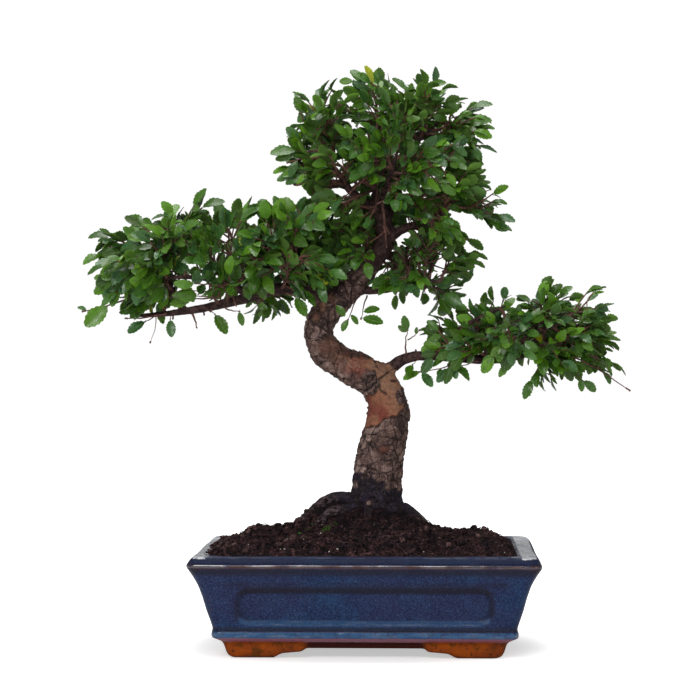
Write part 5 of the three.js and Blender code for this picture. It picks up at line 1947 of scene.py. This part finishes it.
# Shoots that stray out of the pads: first point, last point, bow and thickness, and leaves: the share of
# the shoot where each grows, the way it points (across, back and up), its length and how fresh it is
STRAY_SHOOTS = [
    ((30, -5, 225), (31, -9, 243), (-2, -2, 0), 0.8,
     [(1, (-0.2, -0.3, 1), 13, 0.5), (0.95, (-0.9, -0.2, 0.6), 9, 0.3)]),
    ((31, -8, 236), (40, -10, 243), (0, 0, -2), 0.6,
     [(1, (0.9, 0, 0.4), 6, 0.3), (0.7, (0.2, 0, 1), 6, 0.3)]),
    ((76, -6, 221), (41, -11, 211.5), (0, -3, -3), 0.7,
     [(1, (-1, -0.2, -0.35), 15, 0.8), (0.97, (0.65, -0.3, -1), 15, 0.7),
      (0.55, (-0.3, -0.4, -0.8), 8, 0.6)]),
    ((84, -7, 220), (66, -11, 216), (0, -2, -2), 0.6,
     [(1, (0.25, -0.3, -1), 11, 0.7), (0.96, (1, -0.2, -0.7), 17, 0.75)]),
    ((40, -8, 222), (35, -13, 217), (0, -1, 0), 0.5,
     [(1, (-0.3, -0.5, -0.5), 12, 0.55)]),
    ((150, 1, 226), (199, 2, 199), (0, 0, 5), 0.9,
     [(0.5, (0.4, -0.2, 0.9), 14, 0.55)]),
    ((148, -3, 222), (165, -8, 205), (2, -2, 2), 0.8,
     [(1, (0.9, 0, -0.6), 15, 0.45), (0.9, (0.1, -0.3, -1), 11, 0.75)]),
    ((-168, -8, 274), (-216, -12, 258.5), (0, 0, -3), 1.0,
     [(0.64, (-0.8, -0.2, -0.75), 25, 0.8), (0.99, (-0.9, 0, 0.5), 9, 0.7),
      (0.4, (0.1, -0.4, -1), 12, 0.6)]),
    ((-158, -8, 257), (-170, -12, 250.5), (0, 0, 0), 0.8,
     [(1, (-0.8, -0.2, -0.6), 17, 0.35)]),
    ((-150, -9, 257), (-184, -12, 252.5), (0, 0, -2), 1.0,
     [(0.97, (0.7, -0.4, 0.5), 14, 0.5)]),
    ((-162, -9, 256), (-166.5, -10, 235), (2, 0, 0), 0.45,
     []),
    ((-152, -8, 258), (-151, -12, 252), (0, 0, 0), 0.6,
     [(1, (0.1, -0.4, -1), 15, 0.4)]),
    ((-136, -9, 258), (-131, -12, 246), (2, 0, 0), 1.1,
     []),
    ((-124, -9, 260), (-117, -12, 256), (0, 0, 0), 0.7,
     [(1, (0.6, -0.3, -0.9), 19, 0.65)]),
    ((-112, -9, 262), (-98, -16, 258), (0, 0, -2), 0.8,
     [(1, (0.3, -0.2, -1), 12, 0.6)]),
    ((-62, -12, 272), (-55, -16, 269), (0, 0, 0), 0.7,
     [(1, (0.55, -0.3, -0.9), 18, 0.6), (0.6, (0.9, -0.3, 0.1), 15, 0.7)]),
    ((-34, -10, 270), (-24, -17, 263), (0, 0, 1), 0.7,
     [(1, (0.6, -0.2, -0.7), 12, 0.6)]),
    ((-6, -6, 270), (-14, -18, 252), (0, -4, 3), 0.7,
     [(1, (-0.5, -0.2, -0.9), 11, 0.5), (0.85, (0.6, -0.2, -0.6), 10, 0.5)]),
    ((0, -6, 270), (-4, -18, 253), (0, -4, 3), 0.7,
     [(1, (1, -0.2, -0.3), 18, 0.6), (0.8, (0.9, -0.3, 0.2), 14, 0.5)]),
    ((-46, -6, 398), (-51, -8, 410), (0, 0, 0), 1.0,
     []),
    ((-36, -12, 382), (-53, -14, 381), (0, 0, -2), 0.8,
     [(1, (-1, -0.2, -0.05), 22, 0.55), (0.7, (-0.8, -0.3, 0.6), 17, 0.3)]),
    ((-36, -12, 376), (-60, -14, 372), (0, 0, 2), 1.0,
     [(0.7, (-0.5, 0, -0.9), 15, 0.4)]),
    ((62, -6, 402), (76, -7, 401), (0, 0, 2), 0.7,
     [(1, (1, -0.2, 0.3), 21, 0.5), (0.96, (1, -0.2, -0.5), 21, 0.3)]),
    ((78, -6, 346), (94, -8, 351), (0, 0, 0), 0.9,
     []),
    ((80, -6, 344), (92, -8, 340), (0, 0, 0), 0.8,
     []),
]


def make_stray_shoots(looks, shapes, materials):
    foliage = Foliage(SHOOT_SEED, looks.leaf_length / MM, (0, 0, 300))
    rng = foliage.rng
    for start, end, bow, thick, leaves in STRAY_SHOOTS:
        start, end, bow = (np.array(point, float) for point in (start, end, bow))
        line = crooked(bowed_line(start, end, bow, 7), rng, 0.4)
        foliage.twig(line, twig_radii((thick, 0.4 * thick), 7))
        add_stub(foliage, line[-1], line[-1] - line[-2], 0.5)
        for share, way, length, freshness in leaves:
            normal = unit(np.array([0, -0.8, 0.45]) + rng.uniform(-0.25, 0.25, 3))
            point = place_on_line(line, share)[0]
            size = length / foliage.leaf_length
            foliage.leaf(shapes, point, np.array(way, float), normal, size, freshness)
    for route in LIMBS.values():
        rows = smooth_route(route, 6)
        for row in rows[2:-1]:
            if rng.random() < 0.5:
                along = rows[-1, :3] - rows[0, :3]
                way = unit(rng.normal(size=3) + [0, 0, 0.4])
                way = unit(way - 0.6 * along * dot(way, along) / dot(along, along))
                add_stub(foliage, row[:3] + way * row[3] * 0.8, way, rng.uniform(2.5, 7))
    return foliage.piece("stray_shoots", materials)


def leaf_length_on(pad, looks):
    return looks.leaf_length / MM * LEAF_SHARES.get(pad, 1.0)


def middle_of(pad):
    return next(row[1] for row in (*PADS, *FILLING_PADS) if row[0] == pad)


def make_sprays(looks):
    """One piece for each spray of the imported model, and one for each pad's filling."""
    shapes = [leaf_shape(*kind) for kind in LEAF_KINDS]
    materials = [twig_material(looks), leaf_material(looks), leaf_material(looks, underside=True)]
    wood, places = limb_wood(), growing_places()
    planned = {spray["name"]: spray for spray in plan_pads(PADS, places, wood, BASE_SPACING)}
    nodes = [name for name in frame["nodes"] if name.startswith("spray_")]
    for number, node in enumerate(sorted(nodes)):
        name = node.removeprefix("spray_")
        if name not in planned:
            raise RuntimeError(f"no twigs are planned for the node {node}")
        pad = planned[name]["pad"]
        foliage = Foliage(SPRAY_SEED + number, leaf_length_on(pad, looks), middle_of(pad))
        grow_spray(foliage, planned[name], shapes, looks)
        foliage.piece("leaves_" + name, materials, nodes=[node])
    for place in places:
        place["taken"] = False
    filling = plan_pads(FILLING_PADS, places, wood, FILLING_SPACING, FILLING_NUMBER)
    for number, pad in enumerate(dict.fromkeys(spray["pad"] for spray in filling)):
        foliage = Foliage(FILLING_SEED + number, leaf_length_on(pad, looks), middle_of(pad))
        for spray in filling:
            if spray["pad"] == pad:
                grow_spray(foliage, spray, shapes, looks)
        foliage.piece("filling_" + pad, materials)
    make_stray_shoots(looks, shapes, materials)


# Studio

CAMERA_AT = (56, -1777, 236.6)
CAMERA_TURN = math.radians(1.914)
CAMERA_TILT = math.radians(90 - 0.27)
CAMERA_LENS = 118.5


def area_light(name, place, aim, size, power):
    deselect_all()
    bpy.ops.object.light_add(type="AREA", location=place)
    light = bpy.context.object
    light.name = name
    light.data.shape = "RECTANGLE"
    light.data.size, light.data.size_y = size
    light.data.energy = power
    light.rotation_euler = (Vector(aim) - Vector(place)).to_track_quat("-Z", "Y").to_euler()
    return light


def make_stage(looks):
    """White floor, soft light from the upper left and a camera where the photograph was taken from."""
    deselect_all()
    bpy.ops.mesh.primitive_plane_add(size=looks.floor_size, location=(0, 0, -0.0002))
    floor = bpy.context.object
    floor.name = "studio_floor"
    shader = Shader("white_floor")
    cloud = shader.noise(300, detail=2)
    in_trays = (2 / (TRAY_LENGTH * MM), 2 / (TRAY_DEPTH * MM), 0)
    from_middle = {0: shader.stretched(in_trays)}
    away = shader.add("ShaderNodeVectorMath", from_middle, operation="LENGTH").outputs["Value"]
    # Painted light: the floor glows to the camera alone, least under and round the tray so that its shadow
    # shows there, and fully white further off
    painted_floor_glow = shader.between(away, 0.85, 1.5, looks.floor_glow, 1.0)
    seen = shader.add("ShaderNodeLightPath").outputs["Is Camera Ray"]
    shader.give(
        Base_Color=shader.mix(cloud, looks.floor_colour, (0.8, 0.8, 0.8)),
        Roughness=0.8,
        Specular_IOR_Level=0.0,
        Emission_Color=(1, 1, 1),
        Emission_Strength=shader.times(seen, painted_floor_glow),
    )
    floor.data.materials.append(shader.material)
    world = bpy.data.worlds.new("white_studio")
    world.use_nodes = True
    nodes = world.node_tree.nodes
    background = nodes["Background"]
    background.inputs["Color"].default_value = (1, 1, 1, 1)
    path = nodes.new("ShaderNodeLightPath")
    strength = nodes.new("ShaderNodeMapRange")
    strength.inputs["To Min"].default_value = looks.world_light
    strength.inputs["To Max"].default_value = 1.02
    world.node_tree.links.new(path.outputs["Is Camera Ray"], strength.inputs["Value"])
    world.node_tree.links.new(strength.outputs["Result"], background.inputs["Strength"])
    scene = bpy.context.scene
    scene.world = world
    scene.view_settings.view_transform = "Standard"
    middle = (0, 0, 0.2)
    area_light("key", (-0.6, -1.85, 1.2), middle, (1.5, 0.5), looks.key_power)
    area_light("fill", (1.5, -1.3, 0.7), middle, (0.8, 0.8), looks.fill_power)
    area_light("top", (-0.1, 0.1, 1.7), middle, (1.0, 1.0), looks.top_power)
    front = area_light("front", (0.3, -2.1, 0.3), middle, (1.2, 0.6), looks.front_power)
    front.visible_glossy = False
    deselect_all()
    place = [value * MM for value in CAMERA_AT]
    bpy.ops.object.camera_add(location=place, rotation=(CAMERA_TILT, 0, CAMERA_TURN))
    camera = bpy.context.object
    camera.data.lens = CAMERA_LENS
    camera.data.sensor_width = 36
    camera.data.clip_end = 50
    scene.camera = camera


# What a user would change


def colour(name, description, default):
    return FloatVectorProperty(
        name=name, description=description, subtype="COLOR", size=3, min=0, max=1, default=default
    )


def whole(name, description, default, **limits):
    return IntProperty(name=name, description=description, default=default, **limits)


def measure(name, description, default, **limits):
    return FloatProperty(name=name, description=description, default=default, **limits)


class TrayLooks(bpy.types.PropertyGroup):
    glaze_deep: colour("Deep glaze", "Main colour of the glaze", (0.009, 0.019, 0.068))
    glaze_light: colour("Light glaze", "Where the glaze is a little thinner", (0.012, 0.036, 0.1))
    glaze_purple: colour("Purple cast", "Slow drift of the glaze towards purple", (0.022, 0.018, 0.06))
    glaze_speckle: colour("Speckle", "Fine pale freckles in the glaze", (0.045, 0.1, 0.21))
    glaze_dark: colour("Dark speckle", "Fine dark freckles, and the pools in hollows", (0.004, 0.006, 0.018))
    # Also painted shade on the upper and side edges of the sunk panels
    glaze_umber: colour("Under the lip", "Brownish band under the lip", (0.012, 0.009, 0.014))
    glaze_thin: colour("Thin glaze", "Brown clay showing through on edges", (0.06, 0.024, 0.016))
    # Pooled glaze of the bead with a painted highlight on its top; also the painted highlight on each
    # panel's lower edge
    glaze_band: colour("Base band", "Brighter blue of the bead round the base", (0.028, 0.085, 0.19))
    glaze_mauve: colour("Lower edge", "Mauve line where the glaze ends", (0.27, 0.1, 0.15))
    lime_scale: colour("Lime scale", "Pale crust on the rim", (0.55, 0.56, 0.6))
    clay_light: colour("Light clay", "Bare clay of the feet", (0.33, 0.067, 0.006))
    clay_dark: colour("Dark clay", "Darker clouds in the clay", (0.17, 0.036, 0.009))
    clay_stain: colour("Clay stain", "Olive-brown stains on the clay", (0.075, 0.032, 0.004))
    # Painted shade: darker clay for the skirt between the feet, under the tray's overhang
    clay_sheltered: colour("Sheltered clay", "Darker clay between the feet", (0.05, 0.012, 0.009))


class BedLooks(bpy.types.PropertyGroup):
    crumbs: whole("Crumbs", "Loose crumbs on the bed", 2200, min=0, max=6000)
    spilled: whole("Spilled crumbs", "Crumbs on the left rim", 260, min=0, max=900)
    fibres: whole("Fibres", "Root hairs on the bed", 420, min=0, max=1500)
    soil_dark: colour("Dark soil", "Shadowed side of the crumbs", (0.003, 0.002, 0.0022))
    soil_mid: colour("Soil", "Main colour of the compost", (0.026, 0.0155, 0.0195))
    soil_red: colour("Red fibre", "Red-brown peat fibres", (0.046, 0.021, 0.021))
    soil_crumb: colour("Light crumbs", "Driest of the loose crumbs", (0.085, 0.048, 0.046))
    soil_grit: colour("Grit", "Pale grains in the soil", (0.12, 0.09, 0.08))
    soil_wet: colour("Wet soil", "Soaked compost near the trunk", (0.007, 0.0045, 0.0065))


class BarkLooks(bpy.types.PropertyGroup):
    bark_dark: colour("Dark bark", "Weathered plates", (0.05, 0.03, 0.028))
    bark_mid: colour("Bark", "Main colour of the plates", (0.13, 0.078, 0.065))
    bark_grey: colour("Grey bark", "Pale plates and dry edges", (0.29, 0.195, 0.17))
    bark_tan: colour("Tan patch", "Where old flakes came off", (0.24, 0.125, 0.078))
    bark_orange: colour("Orange patch", "Fresh skin under new flakes", (0.235, 0.1, 0.057))
    bark_red: colour("Red patch", "Reddest part of the fresh skin", (0.17, 0.045, 0.03))
    bark_wet: colour("Wet bark", "Soaked foot of the trunk", (0.006, 0.0035, 0.0055))
    # Painted sheen: bluish patches on the soaked foot
    bark_wet_blue: colour("Wet sheen", "Bluish black of the soaked foot", (0.017, 0.011, 0.026))
    bark_damp_edge: colour("Damp edge", "Drier ridges of the soaked foot", (0.06, 0.04, 0.045))
    bark_root: colour("Root", "Drier ridges of the surface roots", (0.12, 0.08, 0.085))
    # Painted shade: both limb bark colours are darkened for the shade under the leaves
    twig_dark: colour("Dark twig", "Bark of limbs and twigs", (0.022, 0.012, 0.012))
    twig_light: colour("Light twig", "Dry side of limbs and twigs", (0.075, 0.042, 0.038))


class LeafLooks(bpy.types.PropertyGroup):
    leaf_length: measure("Leaf length", "Length of a full leaf", 0.019, unit="LENGTH", min=0.008, max=0.04)
    leaf_spacing: measure("Leaf spacing", "Millimetres of twig from leaf to leaf", 5.2, min=2, max=20)
    twigs_per_spray: whole("Fine twigs", "Fine twigs on a spray", 7, min=0, max=20)
    leaf_dark: colour("Dark leaf", "Old leaves", (0.026, 0.068, 0.008))
    leaf_mid: colour("Leaf", "Most leaves", (0.05, 0.14, 0.007))
    leaf_fresh: colour("Fresh leaf", "Young leaves at the tips", (0.105, 0.26, 0.01))
    leaf_yellow: colour("Yellow leaf", "The few that are turning", (0.45, 0.5, 0.02))
    leaf_cool: colour("Bluish leaf", "Leaves with a bluish cast", (0.032, 0.1, 0.05))
    leaf_olive: colour("Olive leaf", "Dull old leaves", (0.05, 0.08, 0.014))
    leaf_vein: colour("Vein", "Midrib and side veins", (0.11, 0.21, 0.04))
    leaf_under: colour("Underside", "Dull pale underside", (0.09, 0.15, 0.04))
    twig_dark: colour("Dark twig", "Shaded side of fine twigs", (0.045, 0.024, 0.02))
    # Shows more on twigs further out from a pad's middle, as painted light
    twig_light: colour("Light twig", "Dry side of fine twigs", (0.22, 0.1, 0.075))


class StageLooks(bpy.types.PropertyGroup):
    floor_size: measure("Floor", "Side of the floor", 12, unit="LENGTH", min=2)
    floor_colour: colour("Floor colour", "Pale floor", (0.8, 0.8, 0.8))
    floor_glow: measure("Floor glow", "How much whiter than lit the floor looks", 0.5, min=0)
    world_light: measure("Surrounding light", "Strength of the white room", 0.28, min=0)
    key_power: measure("Key light", "Watts from the upper left", 25, min=0)
    fill_power: measure("Fill light", "Watts from the right", 3, min=0)
    top_power: measure("Top light", "Watts from above", 18, min=0)
    front_power: measure("Front light", "Watts from beside the camera", 5, min=0)


# Operators, one for each piece or group of like pieces


def looks_of(name):
    return getattr(bpy.context.scene, "elm_" + name)


class PieceOperator:
    """What the operators share: each builds its piece from the looks in one group"""

    def execute(self, context):
        self.build(looks_of(self.group))
        return {"FINISHED"}


class StageOperator(PieceOperator, bpy.types.Operator):
    """White floor, soft lights and the camera"""

    bl_idname = "bonsai.stage"
    bl_label = "Studio"
    group = "stage"
    build = staticmethod(make_stage)


class TrayOperator(PieceOperator, bpy.types.Operator):
    """Glazed tray with its sunk panels and clay feet"""

    bl_idname = "bonsai.tray"
    bl_label = "Glazed tray"
    group = "tray"
    build = staticmethod(make_tray)


class ScreensOperator(PieceOperator, bpy.types.Operator):
    """Plastic mesh over the drain holes"""

    bl_idname = "bonsai.screens"
    bl_label = "Drain screens"
    group = "tray"
    build = staticmethod(make_screens)


class SoilOperator(PieceOperator, bpy.types.Operator):
    """Mounded bed of compost"""

    bl_idname = "bonsai.soil"
    bl_label = "Soil"
    group = "bed"
    build = staticmethod(make_soil)


class LitterOperator(PieceOperator, bpy.types.Operator):
    """Crumbs, fibres, grit and moss on the bed"""

    bl_idname = "bonsai.litter"
    bl_label = "Soil crumbs"
    group = "bed"
    build = staticmethod(make_litter)


class TrunkOperator(PieceOperator, bpy.types.Operator):
    """Trunk, limbs and surface roots with their bark"""

    bl_idname = "bonsai.trunk"
    bl_label = "Trunk and limbs"
    group = "bark"
    build = staticmethod(make_trunk)


class SpraysOperator(PieceOperator, bpy.types.Operator):
    """Sprays of twigs and toothed leaves"""

    bl_idname = "bonsai.sprays"
    bl_label = "Leaf sprays"
    group = "leaves"
    build = staticmethod(make_sprays)


LOOKS = {"stage": StageLooks, "tray": TrayLooks, "bed": BedLooks, "bark": BarkLooks, "leaves": LeafLooks}
OPERATORS = (
    StageOperator,
    TrayOperator,
    ScreensOperator,
    SoilOperator,
    TrunkOperator,
    LitterOperator,
    SpraysOperator,
)


class BonsaiPanel(bpy.types.Panel):
    """Lists the pieces of the bonsai and what can be changed on them"""

    bl_idname = "VIEW3D_PT_bonsai"
    bl_label = "Chinese Elm Bonsai"
    bl_space_type = "VIEW_3D"
    bl_region_type = "UI"
    bl_category = "Bonsai"

    def draw(self, context):
        for operator in OPERATORS:
            self.layout.operator(operator.bl_idname)
        for name, group in LOOKS.items():
            box = self.layout.box()
            for prop in group.__annotations__:
                box.prop(looks_of(name), prop)


def register():
    for group in LOOKS.values():
        bpy.utils.register_class(group)
    for operator in OPERATORS:
        bpy.utils.register_class(operator)
    bpy.utils.register_class(BonsaiPanel)
    for name, group in LOOKS.items():
        setattr(bpy.types.Scene, "elm_" + name, PointerProperty(type=group))


def unregister():
    for name in LOOKS:
        delattr(bpy.types.Scene, "elm_" + name)
    bpy.utils.unregister_class(BonsaiPanel)
    for operator in reversed(OPERATORS):
        bpy.utils.unregister_class(operator)
    for group in LOOKS.values():
        bpy.utils.unregister_class(group)


def main():
    register()
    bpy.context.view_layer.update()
    bpy.ops.bonsai.stage()
    bpy.ops.bonsai.tray()
    bpy.ops.bonsai.screens()
    bpy.ops.bonsai.soil()
    bpy.ops.bonsai.trunk()
    bpy.ops.bonsai.litter()
    bpy.ops.bonsai.sprays()
    deselect_all()
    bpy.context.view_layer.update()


if __name__ == "__main__":
    main()
